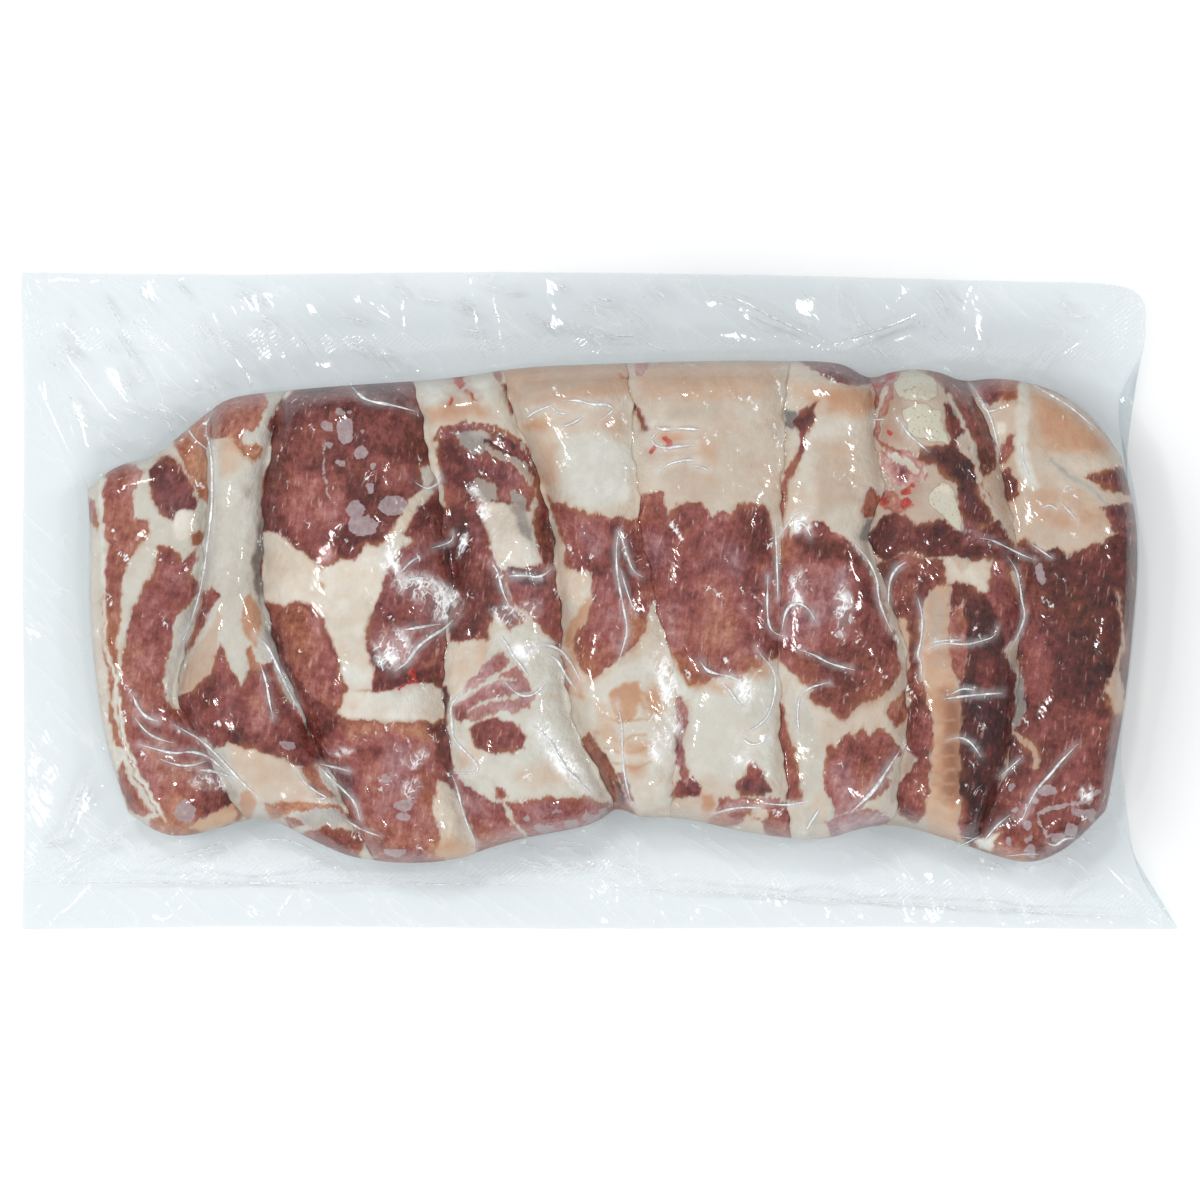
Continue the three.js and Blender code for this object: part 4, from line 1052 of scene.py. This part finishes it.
# ---------------------------------------------------------------------------------------------------------
# The last chop, at the drawn-in end: a thick cap of cream and orange fat over a large dark muscle, with
# frost marks all over its foot.
FOOT_FROST = [
    (1010, 727, 6, 6), (1045, 790, 11, 5), (1035, 801, 4, 3), (1012, 788, 5, 3), (1071, 829, 7, 7), (1028, 838, 4, 5),
    (1031, 851, 8, 7), (1014, 810, 4, 3), (1026, 824, 4, 5), (1058, 838, 8, 4), (985, 771, 3, 6), (1006, 768, 3, 3),
    (1092, 812, 6, 4), (1088, 836, 4, 4), (1010, 842, 3, 4), (1052, 858, 4, 2),
]
chop("chop_9", 8, [
    lean(-0.55, 0.3),
    tint(-0.65, 0.15, [(1040, 555), (1130, 560), (1135, 610), (1060, 610)]),
    tint(-0.2, 0.25, [(1016, 560), (1044, 600), (1050, 700), (1022, 700)]),
    tint(-0.72, 0.2, [(1050, 630), (1120, 620), (1120, 700), (1060, 710)]),
    fat(0.42, 0.45, [
        (962, 372), (1040, 370), (1100, 400), (1150, 450), (1150, 520), (1120, 530), (1100, 542), (1080, 548),
        (1068, 556), (1058, 546), (1046, 552), (1036, 544), (1022, 538), (1012, 548), (1000, 522), (986, 500),
        (980, 470), (990, 450),
    ]),
    lean(-0.1, -0.4, [(966, 380), (985, 372), (1003, 372), (1004, 392), (998, 402), (988, 406), (974, 392)]),
    lean(0.1, 0.75, [(1003, 372), (1024, 378), (1026, 388), (1015, 398), (1000, 402), (1002, 388)]),
    fat(0.9, 0.4, spot(1002, 428, 6, 7)),
    lean(-0.15, 0.5, [(1008, 434), (1015, 434), (1014, 450), (1006, 463), (998, 463), (1000, 446)]),
    lean(-0.25, 0.45, [(1003, 470), (1010, 467), (1019, 480), (1021, 492), (1015, 501), (1005, 500), (998, 486)]),
    tint(0.2, -0.3, [(985, 470), (998, 470), (1000, 500), (990, 498)]),
    fat(0.7, 0.1, [(1023, 385), (1023, 420), (1022, 460), (1034, 486)], 6.0),
    tint(0.35, 1.0, [(1036, 396), (1060, 405), (1086, 425), (1106, 445), (1098, 452), (1070, 456), (1048, 450), (1040, 428)]),
    tint(0.55, 0.4, [(1045, 456), (1100, 455), (1128, 470), (1080, 475)]),
    lean(0.05, 0.65, [(1030, 380), (1060, 390), (1085, 403), (1108, 426), (1122, 442)], 3.6),
    lean(-0.35, 0.4, [(1084, 476), (1110, 467), (1132, 470), (1142, 492), (1120, 493), (1100, 488)]),
    fat(-0.05, -0.3, [(1052, 462), (1085, 486), (1115, 510), (1145, 538)], 3.0),
    lean(-0.2, -0.35, [(1102, 508), (1122, 503), (1145, 506), (1145, 545), (1126, 540), (1110, 527)]),
    tint(0.35, 0.75, [(1030, 490), (1080, 490), (1110, 520), (1060, 530), (1035, 520)]),
    lean(-0.6, 0.25, [(1112, 545), (1145, 540), (1145, 580), (1112, 575)]),
    fat(0.25, 0.3, [(1118, 592), (1124, 640), (1118, 668)], 1.2),
    fat(0.35, 0.6, [(1104, 690), (1118, 666), (1130, 716), (1114, 712)]),
    tint(-0.28, 0.12, [(1012, 712), (1120, 715), (1105, 830), (1060, 860), (1000, 860), (1000, 800)]),
    tint(-0.35, -0.3, [(1000, 700), (1020, 715), (1010, 790), (996, 800)]),
    tint(-0.3, 0.05, spot(1058, 822, 14, 8)),
    tint(0.3, 0.7, [(990, 838), (1020, 845), (1030, 862), (1000, 862)]),
    fat(0.25, 0.8, [(1015, 735), (1030, 744), (1038, 757), (1036, 766)], 2.6),
    fat(-0.3, -0.9, [(1014, 665), (1022, 690), (1016, 722)], 4.0),
    fat(0.9, 0.1, [(972, 842), (1002, 832), (990, 852)]),
    mark("frost", spot(1041, 575, 5, 12, -15)),
    mark("frost", [(1038, 814), (1060, 806), (1085, 801), (1100, 790)], 2.2),
    mark("frost", [(1036, 814), (1042, 828), (1048, 838)], 1.4),
    mark("frost", [(1072, 812), (1086, 812), (1096, 822)], 3.0),
    *[mark("frost", spot(*patch)) for patch in FOOT_FROST],
])

# ---------------------------------------------------------------------------------------------------------
# The bag: two films of clear plastic, welded at the seals and sucked on to the meat. It follows the form,
# a little outside the chops, with creases that run out from the meat across its flat border.
FILM_OUT = 0.2 * MM
BORDER_CREASES = [
    # line, height, half width, all in the photograph's pixels
    ([(735, 296), (780, 322), (830, 343), (880, 330), (930, 309)], 5, 9),
    ([(88, 480), (60, 440), (30, 385)], 6, 9),
    ([(95, 765), (75, 812), (52, 872)], 7, 9),
    ([(100, 800), (70, 850), (40, 885)], 5, 9),
    ([(150, 440), (110, 415), (60, 350), (30, 320)], 6, 9),
    ([(215, 398), (170, 350), (120, 300)], 6, 9),
    ([(260, 388), (230, 350), (205, 300)], 5, 9),
    ([(420, 372), (400, 340), (370, 300)], 4, 9),
    ([(600, 360), (604, 330), (590, 300)], 4, 9),
    ([(1040, 378), (1075, 345), (1110, 300)], 6, 9),
    ([(1090, 400), (1120, 380), (1150, 330)], 6, 9),
    ([(345, 862), (320, 890), (300, 915)], 4, 9),
    ([(612, 822), (630, 850), (640, 885)], 4, 9),
    ([(820, 845), (830, 870), (838, 895)], 4, 9),
    ([(1000, 862), (985, 885), (960, 905)], 5, 9),
    ([(1065, 860), (1100, 885), (1130, 910)], 6, 9),
    ([(1105, 835), (1130, 870), (1160, 905)], 6, 9),
]
TOP_BAND = [(20, 345), (300, 352), (600, 356), (800, 362), (1040, 364), (1150, 362)]  # its lower weld line
NEAR_WELD = [(20, 880), (600, 885), (900, 905), (1185, 920)]
GLARE = [
    # crumpled places, painted white as highlights: middle, radii and turn
    (391, 562, 9, 11, 30), (424, 588, 26, 11, 15), (392, 648, 16, 16, -40), (488, 517, 5, 19, -22),
    (473, 490, 4, 7, -35), (444, 606, 16, 12, 10), (505, 615, 12, 8, 20), (528, 612, 12, 8, -20),
    (524, 650, 10, 8, 0), (462, 545, 3, 12, 20),
    (668, 690, 8, 38, -12), (843, 610, 8, 22, 0), (797, 590, 7, 18, 0), (560, 755, 10, 36, -35),
    (212, 783, 18, 6, 5), (801, 523, 9, 8, 40), (660, 745, 9, 14, 20), (415, 760, 12, 6, -30),
    (412, 790, 7, 10, 20), (340, 752, 12, 3, -5), (745, 690, 8, 12, 0), (1086, 795, 6, 8, 0),
    (742, 762, 6, 5, 0), (78, 410, 4, 9, 10),
]


PLEAT_RISE = 0.22 * MM
PLEAT_SPREAD = 2.8  # how far a pleat's foot reaches, in half widths
PLEATS = [
    # half width in pixels, then the fold's line
    (1.6, [(212, 410), (204, 430), (212, 450), (213, 500), (209, 535), (203, 580), (198, 600), (190, 625), (183, 640)]),
    (1.0, [(185, 425), (195, 440), (211, 452)]),
    (1.6, [(348, 381), (356, 392), (367, 401), (392, 405), (415, 411)]),
    (1.3, [(415, 482), (422, 487), (430, 489), (441, 481), (436, 478), (440, 472)]),
    (1.2, [(524, 420), (536, 411), (550, 406), (556, 403)]),
    (1.2, [(551, 406), (556, 413), (568, 414)]),
    (1.1, [(560, 427), (572, 424), (584, 416)]),
    (1.4, [(563, 401), (578, 400), (592, 405), (606, 404), (616, 409), (600, 421)]),
    (1.9, [(652, 424), (660, 430), (680, 428), (702, 430)]),
    (1.4, [(658, 431), (649, 441), (662, 449), (680, 446), (698, 445)]),
    (1.3, [(658, 472), (668, 464), (684, 460), (700, 460)]),
    (1.0, [(690, 467), (700, 466), (709, 471)]),
    (1.3, [(619, 531), (616, 548), (617, 575), (622, 600), (628, 630), (624, 645), (616, 669)]),
    (1.2, [(620, 531), (626, 552), (633, 572), (643, 577)]),
    (0.9, [(621, 570), (628, 595), (636, 615)]),
    (1.2, [(775, 520), (777, 560), (778, 600)]),
    (1.2, [(768, 575), (767, 600), (768, 625), (775, 634), (785, 636)]),
    (1.6, [(782, 630), (785, 612), (793, 603), (803, 604), (811, 612), (816, 622)]),
    (1.3, [(756, 648), (763, 658), (773, 668), (776, 682), (774, 700), (768, 717), (756, 728), (742, 734)]),
    (1.7, [(700, 661), (706, 670), (716, 674), (732, 677), (742, 682)]),
    (1.4, [(720, 682), (730, 690), (738, 704), (748, 709)]),
    (1.3, [(741, 737), (750, 745), (760, 744), (770, 737)]),
    (1.3, [(855, 545), (867, 558), (877, 578), (878, 598), (885, 618), (892, 632)]),
    (1.5, [(906, 562), (896, 568), (889, 582), (888, 606)]),
    (1.3, [(918, 598), (923, 618), (921, 642), (917, 656), (922, 662), (921, 682)]),
    (1.2, [(1007, 556), (1016, 568), (1020, 585), (1022, 602), (1026, 615), (1018, 636), (1009, 650)]),
    (1.1, [(926, 650), (936, 645), (948, 643), (966, 645), (985, 640), (994, 637), (998, 627)]),
    (1.2, [(930, 643), (944, 640), (962, 640)]),
    (1.4, [(944, 699), (965, 696), (985, 694), (1002, 693)]),
    (1.1, [(950, 695), (962, 688), (975, 690)]),
    (1.2, [(970, 384), (980, 398), (990, 415), (995, 432), (999, 452)]),
    (1.0, [(980, 398), (984, 410), (992, 412), (1004, 406)]),
    (1.1, [(980, 538), (992, 540), (1004, 546), (1020, 554), (1036, 560)]),
    (1.0, [(1030, 543), (1042, 551), (1052, 558)]),
    (1.1, [(1032, 384), (1052, 396), (1072, 408), (1092, 426)]),
    (1.1, [(1060, 502), (1070, 512), (1078, 522)]),
    (1.0, [(1042, 508), (1050, 504), (1058, 510)]),
    (1.7, [(255, 635), (263, 641), (270, 650), (278, 668), (287, 688), (297, 706)]),
    (1.4, [(260, 664), (266, 680), (269, 700), (273, 718)]),
    (1.9, [(133, 696), (138, 708), (147, 718), (158, 721)]),
    (1.3, [(135, 718), (144, 730), (155, 738), (173, 743)]),
    (1.5, [(138, 744), (155, 749), (175, 754), (192, 751), (208, 756), (222, 768), (234, 778)]),
    (1.2, [(160, 759), (175, 765), (192, 766), (206, 761)]),
    (1.8, [(200, 770), (214, 771), (232, 777)]),
    (1.3, [(172, 724), (184, 730), (204, 742), (222, 760), (240, 780), (258, 797)]),
    (1.3, [(297, 770), (304, 783), (318, 793), (330, 799), (306, 799)]),
    (1.4, [(318, 765), (330, 778), (344, 790), (356, 803), (360, 820)]),
    (1.3, [(320, 764), (335, 767), (350, 771)]),
    (1.2, [(343, 818), (360, 829), (380, 836)]),
    (1.2, [(401, 572), (410, 562), (420, 556)]),
    (1.5, [(404, 581), (416, 578), (428, 578)]),
    (1.2, [(432, 548), (446, 544), (453, 540), (453, 533)]),
    (1.8, [(395, 671), (408, 662), (416, 648), (430, 637), (444, 629), (453, 620)]),
    (1.5, [(404, 630), (420, 627), (440, 624)]),
    (1.4, [(492, 562), (498, 572), (502, 590), (508, 604)]),
    (1.5, [(509, 576), (524, 575), (540, 578), (551, 569)]),
    (1.4, [(500, 636), (507, 644), (514, 658), (520, 664), (528, 676)]),
    (1.4, [(505, 682), (514, 692), (525, 697), (538, 693), (546, 680)]),
    (1.8, [(522, 662), (530, 648), (546, 644), (562, 650), (572, 664), (580, 680)]),
    (1.5, [(546, 653), (558, 660), (566, 676), (576, 690)]),
    (1.6, [(468, 688), (458, 696), (450, 706), (452, 724), (453, 740), (466, 752), (480, 768), (474, 774), (454, 773)]),
    (1.2, [(452, 775), (458, 790), (462, 810), (470, 832), (478, 845)]),
    (2.2, [(533, 725), (548, 738), (556, 752), (566, 770), (580, 782), (592, 796)]),
    (1.2, [(616, 702), (622, 722), (622, 745), (624, 775), (632, 808)]),
    (1.3, [(713, 814), (728, 809), (745, 807), (762, 808)]),
    (1.2, [(763, 803), (780, 805), (796, 804), (808, 801)]),
    (1.3, [(820, 808), (812, 820), (804, 833)]),
    (2.1, [(853, 810), (862, 802), (874, 790), (884, 775), (892, 762), (900, 750)]),
    (1.2, [(950, 739), (962, 737), (972, 743), (981, 757)]),
    (1.4, [(1001, 775), (1010, 768), (1021, 758)]),
    (1.5, [(1078, 744), (1062, 760), (1050, 775), (1036, 790), (1028, 806), (1022, 820)]),
    (1.5, [(1010, 815), (998, 824), (988, 836), (980, 845)]),
    (1.2, [(1046, 842), (1054, 847), (1064, 838), (1074, 838)]),
    (1.2, [(900, 420), (908, 434), (920, 444), (930, 453)]),
    (1.2, [(873, 420), (884, 419)]),
    (1.0, [(1022, 440), (1022, 462), (1030, 478)]),
    (1.0, [(780, 536), (795, 512), (812, 510)]),
    (1.6, [(796, 530), (800, 521), (806, 526), (811, 536)]),
    (1.2, [(855, 670), (830, 664), (815, 655), (800, 650)]),
    (1.1, [(830, 682), (800, 690), (797, 715), (800, 740)]),
]


def film_finish():
    material = bpy.data.materials.new("clear_film")
    material.use_nodes = True
    tree = material.node_tree
    tree.nodes.remove(tree.nodes["Principled BSDF"])
    where = add(tree, "ShaderNodeTexCoord").outputs["Object"]
    crumple = grain(tree, where, 230, detail=2, roughness=0.65, stretch=(1, 0.4, 1), turn=-0.6)
    facets = grain(tree, where, 330, detail=2, stretch=(1, 0.5, 1), turn=0.6)
    facet_edge = ranged(tree, add(tree, "ShaderNodeMath", {0: facets}, operation="ABSOLUTE").outputs[0], 0.03, 0.2, 1, 0)
    # Painted highlights: thin white streaks across the loose border film.
    highlight_streak_noise = grain(tree, where, 120, detail=1, stretch=(1, 0.06, 1), turn=-0.85)
    away = add(tree, "ShaderNodeMath", {0: highlight_streak_noise}, operation="ABSOLUTE").outputs[0]
    highlight_streaks = product(tree, ranged(tree, away, 0, 0.05, 1, 0), attribute(tree, "loose"))
    hatch = add(tree, "ShaderNodeTexWave", {
        "Vector": add(tree, "ShaderNodeMapping", {0: where, 2: (0, 0, 0.9)}).outputs[0],
        "Scale": 230.0,
    }).outputs["Fac"]
    glare = attribute(tree, "glare")
    embossed = product(tree, hatch, attribute(tree, "weld"))
    rise = sum_of(tree, (crumple, 0.12), (product(tree, facets, glare), 0.25), (embossed, 0.15))
    bump = add(tree, "ShaderNodeBump", {"Height": rise, "Strength": 0.75, "Distance": 0.8 * MM}).outputs[0]
    fresnel = add(tree, "ShaderNodeFresnel", {"IOR": 1.5, "Normal": bump}).outputs[0]
    clear = add(tree, "ShaderNodeBsdfTransparent", {"Color": (0.948, 0.963, 0.968, 1)}).outputs[0]
    shine = add(tree, "ShaderNodeBsdfGlossy", {"Roughness": 0.08, "Normal": bump}).outputs[0]
    mirrored = ranged(tree, fresnel, 0, 0.14, 0, 0.14)
    skin = add(tree, "ShaderNodeMixShader", {0: mirrored, 1: clear, 2: shine}).outputs[0]
    # A diffuse white mixed into the film: mostly painted highlights (white crumples, glints, streaks and the glow
    # beside the pleats), and the frosting of the embossed seals.
    haze_and_highlight_white = add(tree, "ShaderNodeBsdfDiffuse", {"Color": linear("#f4f6f6"), "Normal": bump}).outputs[0]
    bright = sum_of(tree, (facet_edge, 0.6), (crumple, 0.9), (facets, 0.35))
    crumple_highlight = product(tree, ranged(tree, glare, 0.1, 0.9), ranged(tree, bright, 0.0, 0.85, 0.0, 0.95))
    glints = ranged(tree, sum_of(tree, (crumple, 0.8), (facet_edge, 0.35)), 0.72, 1.0, 0.0, 0.75)
    glints = product(tree, glints, ranged(tree, attribute(tree, "loose"), 0, 0.5, 1, 0.2))
    haze_and_highlight_share = sum_of(
        tree, (crumple_highlight, 1.0), (glints, 1.0), (glare, 0.12), (highlight_streaks, 0.2), (embossed, 0.12),
        (attribute(tree, "foot"), 0.28),
    )
    haze_and_highlight = ranged(tree, haze_and_highlight_share, 0, 1, 0, 1)
    seen = add(tree, "ShaderNodeMixShader", {0: haze_and_highlight, 1: skin, 2: haze_and_highlight_white}).outputs[0]
    light_path = add(tree, "ShaderNodeLightPath").outputs
    behind = add(tree, "ShaderNodeNewGeometry").outputs["Backfacing"]
    passing = add(
        tree, "ShaderNodeMath", {0: light_path["Is Shadow Ray"], 1: light_path["Is Diffuse Ray"]}, operation="MAXIMUM"
    ).outputs[0]
    plain = add(tree, "ShaderNodeMath", {0: passing, 1: behind}, operation="MAXIMUM").outputs[0]
    surface = add(tree, "ShaderNodeMixShader", {0: plain, 1: seen, 2: clear}).outputs[0]
    tree.links.new(surface, tree.nodes["Material Output"].inputs["Surface"])
    return material


film = film_finish()
bag_mesh = form.copy()
count = len(bag_mesh.vertices)
spots = np.zeros(count * 3)
bag_mesh.vertices.foreach_get("co", spots)
x, y, z = spots.reshape(-1, 3).T.copy()
outward = np.zeros(count * 3)
bag_mesh.vertices.foreach_get("normal", outward)
nx, ny, nz = outward.reshape(-1, 3).T
upper = np.clip(nz * 4, 0, 1)
x += FILM_OUT * nx * upper
y += FILM_OUT * ny * upper
z += FILM_OUT * np.maximum(nz, 0)
px, py = pixels_of(x, y, z)
to_meat = -inside_by(meat_outline, x, y) / MM
border = np.clip((to_meat - 2) / 6, 0, 1)
for line, rise, half_width in BORDER_CREASES:
    away = -inside_by(np.array(line, float), px, py, closed=False)
    z += rise * PIXEL * np.exp(-((away / half_width) ** 2)) * border
over_meat = upper * (1 - border)
z += (0.14 * mottle(px, py, 26, seed=21) * over_meat + 0.22 * mottle(px, py + 0.6 * px, 24, seed=22) * border) * MM
weld = np.zeros(count)
for line, half_width in ((TOP_BAND, 9), (NEAR_WELD, 11)):
    away = -inside_by(np.array(line, float) - (0, half_width), px, py, closed=False)
    weld = np.maximum(weld, np.clip(1.5 - away / half_width, 0, 1))
corner = np.clip(inside_by(np.array([(1095, 270), (1165, 270), (1165, 350), (1130, 368), (1100, 360)], float), px, py) / 4, 0, 1)
weld = np.maximum(weld, corner) * border
# Painted highlights: the film is whitened inside each glare oval, which also crumples its surface.
glare = np.zeros(count)
for cx, cy, across, high, turn in GLARE:
    tilt = math.radians(turn)
    along = (px - cx) * math.cos(tilt) + (py - cy) * math.sin(tilt)
    over = (py - cy) * math.cos(tilt) - (px - cx) * math.sin(tilt)
    glare = np.maximum(glare, np.clip(1.6 - np.hypot(along / across, over / high), 0, 1))
glare *= upper
# Beside each pleat the film rises a little and gets a soft painted white glow.
foot = np.zeros(count)
for half_width, line in PLEATS:
    away = -inside_by(np.array(line, float), px, py, closed=False)
    foot = np.maximum(foot, np.exp(-((away / (PLEAT_SPREAD * half_width)) ** 2)))
foot *= upper * np.clip(0.7 + 0.5 * mottle(px, py, 12, seed=23), 0, 1)
z += PLEAT_RISE * foot
bag_mesh.vertices.foreach_set("co", np.stack([x, y, np.maximum(z, 0.02 * MM)], axis=1).ravel())
for field, values in (("weld", weld), ("glare", glare), ("loose", border), ("foot", foot)):
    bag_mesh.attributes.new(field, "FLOAT", "POINT").data.foreach_set("value", values.astype(np.float32))
bag_mesh.polygons.foreach_set("use_smooth", np.ones(len(bag_mesh.polygons), bool))
bag_mesh.update()
bag_mesh.materials.clear()
bag_mesh.materials.append(film)
bag = bpy.data.objects.new("bag", bag_mesh)
bpy.context.scene.collection.objects.link(bag)
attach(bag, "root")
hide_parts("sealed_pack")

# ---------------------------------------------------------------------------------------------------------
# The pleats: where the vacuum left too much film, it stands up in thin folds, painted nearly white so that they
# show as highlight lines. Each is a fine raised ridge that tapers out at both ends.
BORDER_GLINTS = [
    (1.4, [(240, 362), (248, 378), (256, 390)]), (1.3, [(202, 377), (212, 386), (221, 395)]),
    (1.2, [(98, 436), (114, 446), (128, 455)]), (1.2, [(150, 408), (163, 410), (178, 414)]),
    (1.6, [(92, 766), (76, 802), (58, 840)]), (1.4, [(735, 297), (778, 321), (826, 341)]),
    (1.4, [(836, 342), (880, 330), (926, 312)]), (1.2, [(1030, 376), (1046, 358), (1062, 340)]),
    (1.0, [(105, 836), (122, 825), (140, 818)]), (1.0, [(150, 864), (190, 852), (230, 842)]),
    (1.0, [(240, 845), (285, 836), (330, 860)]), (1.1, [(1060, 905), (1085, 880), (1102, 872)]),
    (1.0, [(30, 882), (300, 883), (560, 885)]), (1.0, [(600, 886), (880, 903), (1150, 918)]),
]
STREAK_BANDS = [
    # where loose film shows painted highlight streaks: low and high corner, streaks, and the turn they share
    ((40, 285), (400, 370), 34, 0.75), ((400, 285), (760, 350), 26, 0.45), ((800, 285), (1090, 350), 22, 0.9),
    ((40, 375), (180, 440), 12, 0.65), ((40, 840), (330, 872), 10, -0.3), ((520, 835), (640, 870), 12, 0.1),
    ((850, 828), (1120, 880), 12, 0.3), ((1140, 760), (1160, 900), 8, 1.3),
]


def pleat_highlight_finish():
    """The film seen edge on, painted brighter and less clear than where it lies flat, as highlights along its folds."""
    material = bpy.data.materials.new("film_folds_painted_highlight")
    material.use_nodes = True
    tree = material.node_tree
    shader = tree.nodes["Principled BSDF"]
    where = add(tree, "ShaderNodeTexCoord").outputs["Object"]
    breaks = grain(tree, where, 260, detail=3)
    crumbs = grain(tree, where, 900, detail=2)
    tree.links.new(ranged(tree, sum_of(tree, (breaks, 1.0), (crumbs, 0.4)), -0.8, 0.5, 0.15, 0.95), shader.inputs["Alpha"])
    tree.links.new(
        blended(tree, ranged(tree, crumbs, -1, 1), linear("#e9eded"), linear("#ffffff")), shader.inputs["Base Color"]
    )
    bump = add(tree, "ShaderNodeBump", {"Height": crumbs, "Strength": 0.3, "Distance": 0.1 * MM})
    tree.links.new(bump.outputs[0], shader.inputs["Normal"])
    shader.inputs["Roughness"].default_value = 0.18
    shader.inputs["IOR"].default_value = 1.45
    return material


bag_shell = bmesh.new()
bag_shell.from_mesh(bag_mesh)
bag_tree = BVHTree.FromBMesh(bag_shell)
bag_shell.free()


def on_film(px, py):
    """The point of the film that shows at a pixel."""
    height = FOCUS_HEIGHT
    for _ in range(2):
        hit = bag_tree.ray_cast(Vector((*place(px, py, height), 1)), Vector((0, 0, -1)))[0]
        if hit is None:
            return None
        height = hit.z
    return hit


def fold_curve(name, folds):
    """Ridges of film laid on the bag along these lines, as one piece."""
    curve = bpy.data.curves.new(name, "CURVE")
    curve.dimensions = "3D"
    curve.bevel_depth = PIXEL
    curve.bevel_resolution = 2
    curve.use_fill_caps = True
    for half_width, line in folds:
        line = np.array(line, float)
        for _ in range(2):
            quarter = 0.75 * line[:-1] + 0.25 * line[1:]
            three = 0.25 * line[:-1] + 0.75 * line[1:]
            line = np.vstack([line[:1], np.stack([quarter, three], axis=1).reshape(-1, 2)[1:-1], line[-1:]])
        lengths = np.concatenate([[0], np.cumsum(np.hypot(*np.diff(line, axis=0).T))])
        steps = max(4, round(lengths[-1] / 3))
        at = np.linspace(0, lengths[-1], steps + 1)
        line = np.stack([np.interp(at, lengths, line[:, 0]), np.interp(at, lengths, line[:, 1])], axis=1)
        ridge = [on_film(fx, fy) for fx, fy in line]
        if None in ridge:
            continue
        spline = curve.splines.new("POLY")
        spline.points.add(steps)
        for i, ((fx, fy), at_film) in enumerate(zip(line, ridge)):
            spline.points[i].co = (*at_film, 1)
            share = i / steps
            taper = min(1, 4 * share, 4 * (1 - share)) * (0.75 + 0.25 * math.sin(fx / 5 + fy / 4))
            spline.points[i].radius = half_width * max(taper, 0.15)
    drawn = bpy.data.objects.new(name, curve)
    bpy.context.scene.collection.objects.link(drawn)
    mesh = bpy.data.meshes.new_from_object(drawn.evaluated_get(bpy.context.evaluated_depsgraph_get()))
    bpy.data.objects.remove(drawn)
    mesh.polygons.foreach_set("use_smooth", np.ones(len(mesh.polygons), bool))
    mesh.materials.clear()
    mesh.materials.append(painted_highlight_folds_finish)
    piece = bpy.data.objects.new(name, mesh)
    bpy.context.scene.collection.objects.link(piece)
    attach(piece, "root")
    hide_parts("sealed_pack")
    return piece


painted_highlight_folds_finish = pleat_highlight_finish()
dice = random.Random(11)
highlight_streaks = []
# Short streaks scattered in the bands, drawn as folds with the painted white finish of highlights.
for (low_x, low_y), (high_x, high_y), number, turn in STREAK_BANDS:
    for _ in range(number):
        cx, cy = dice.uniform(low_x, high_x), dice.uniform(low_y, high_y)
        angle = turn + dice.gauss(0, 0.25)
        reach = dice.uniform(5, 20)
        bend = dice.uniform(-2.5, 2.5)
        dx, dy = reach * math.cos(angle), reach * math.sin(angle)
        highlight_streaks.append((dice.uniform(0.5, 1.1), [(cx - dx, cy - dy), (cx + bend, cy - bend), (cx + dx, cy + dy)]))
fold_curve("pleats", PLEATS)
fold_curve("border_folds", BORDER_GLINTS + highlight_streaks)

# ---------------------------------------------------------------------------------------------------------
# The floor is a plain pale sheet, and soft lamps stand round it, two of them low enough to draw bright
# lines along the folds of the film.
floor_mesh = bpy.data.meshes.new("floor")
sheet = bmesh.new()
bmesh.ops.create_grid(sheet, x_segments=1, y_segments=1, size=3)
sheet.to_mesh(floor_mesh)
sheet.free()
floor = bpy.data.objects.new("floor", floor_mesh)
floor.location.z = 0
bpy.context.scene.collection.objects.link(floor)
floor_finish = bpy.data.materials.new("floor")
floor_finish.use_nodes = True
floor_shader = floor_finish.node_tree.nodes["Principled BSDF"]
floor_shader.inputs["Base Color"].default_value = (0.9, 0.91, 0.91, 1)
floor_shader.inputs["Roughness"].default_value = 0.7
floor_mesh.materials.append(floor_finish)


def lamp(name, place_at, size, watts, mirrored=True):
    """A soft lamp that faces the pack, and shows in the film or not."""
    data = bpy.data.lights.new(name, "AREA")
    data.shape = "RECTANGLE"
    data.size, data.size_y = size
    data.energy = watts
    made = bpy.data.objects.new(name, data)
    made.visible_glossy = mirrored
    made.location = place_at
    made.rotation_euler = (Vector((0, 0, 0)) - Vector(place_at)).to_track_quat("-Z", "Y").to_euler()
    bpy.context.scene.collection.objects.link(made)


lamp("left_window", (-1.05, 0.3, 1.25), (0.8, 0.7), 9.5, mirrored=False)
lamp("right_window", (1.05, 0.3, 1.2), (0.4, 0.8), 3.2, mirrored=False)
lamp("near_window", (0.1, -1.2, 1.2), (1.3, 0.4), 10, mirrored=False)
lamp("far_lamp", (-0.3, 0.7, 1.5), (0.14, 0.14), 3.5)
lamp("left_lamp", (-0.75, -0.25, 1.4), (0.1, 0.1), 1.8)
lamp("near_lamp", (0.45, -0.65, 1.5), (0.1, 0.1), 1.8)
lamp("right_lamp", (0.8, 0.2, 1.4), (0.08, 0.08), 1.4)

world = bpy.data.worlds.new("studio")
bpy.context.scene.world = world
world.use_nodes = True
world.node_tree.nodes["Background"].inputs["Color"].default_value = (0.95, 0.97, 1, 1)
world.node_tree.nodes["Background"].inputs["Strength"].default_value = 0.38
bpy.context.scene.view_settings.view_transform = "Standard"
paths = bpy.context.scene.cycles
paths.max_bounces = 3
paths.diffuse_bounces = 1
paths.glossy_bounces = 1
paths.transparent_max_bounces = 8
paths.light_sampling_threshold = 0.1
paths.use_light_tree = False
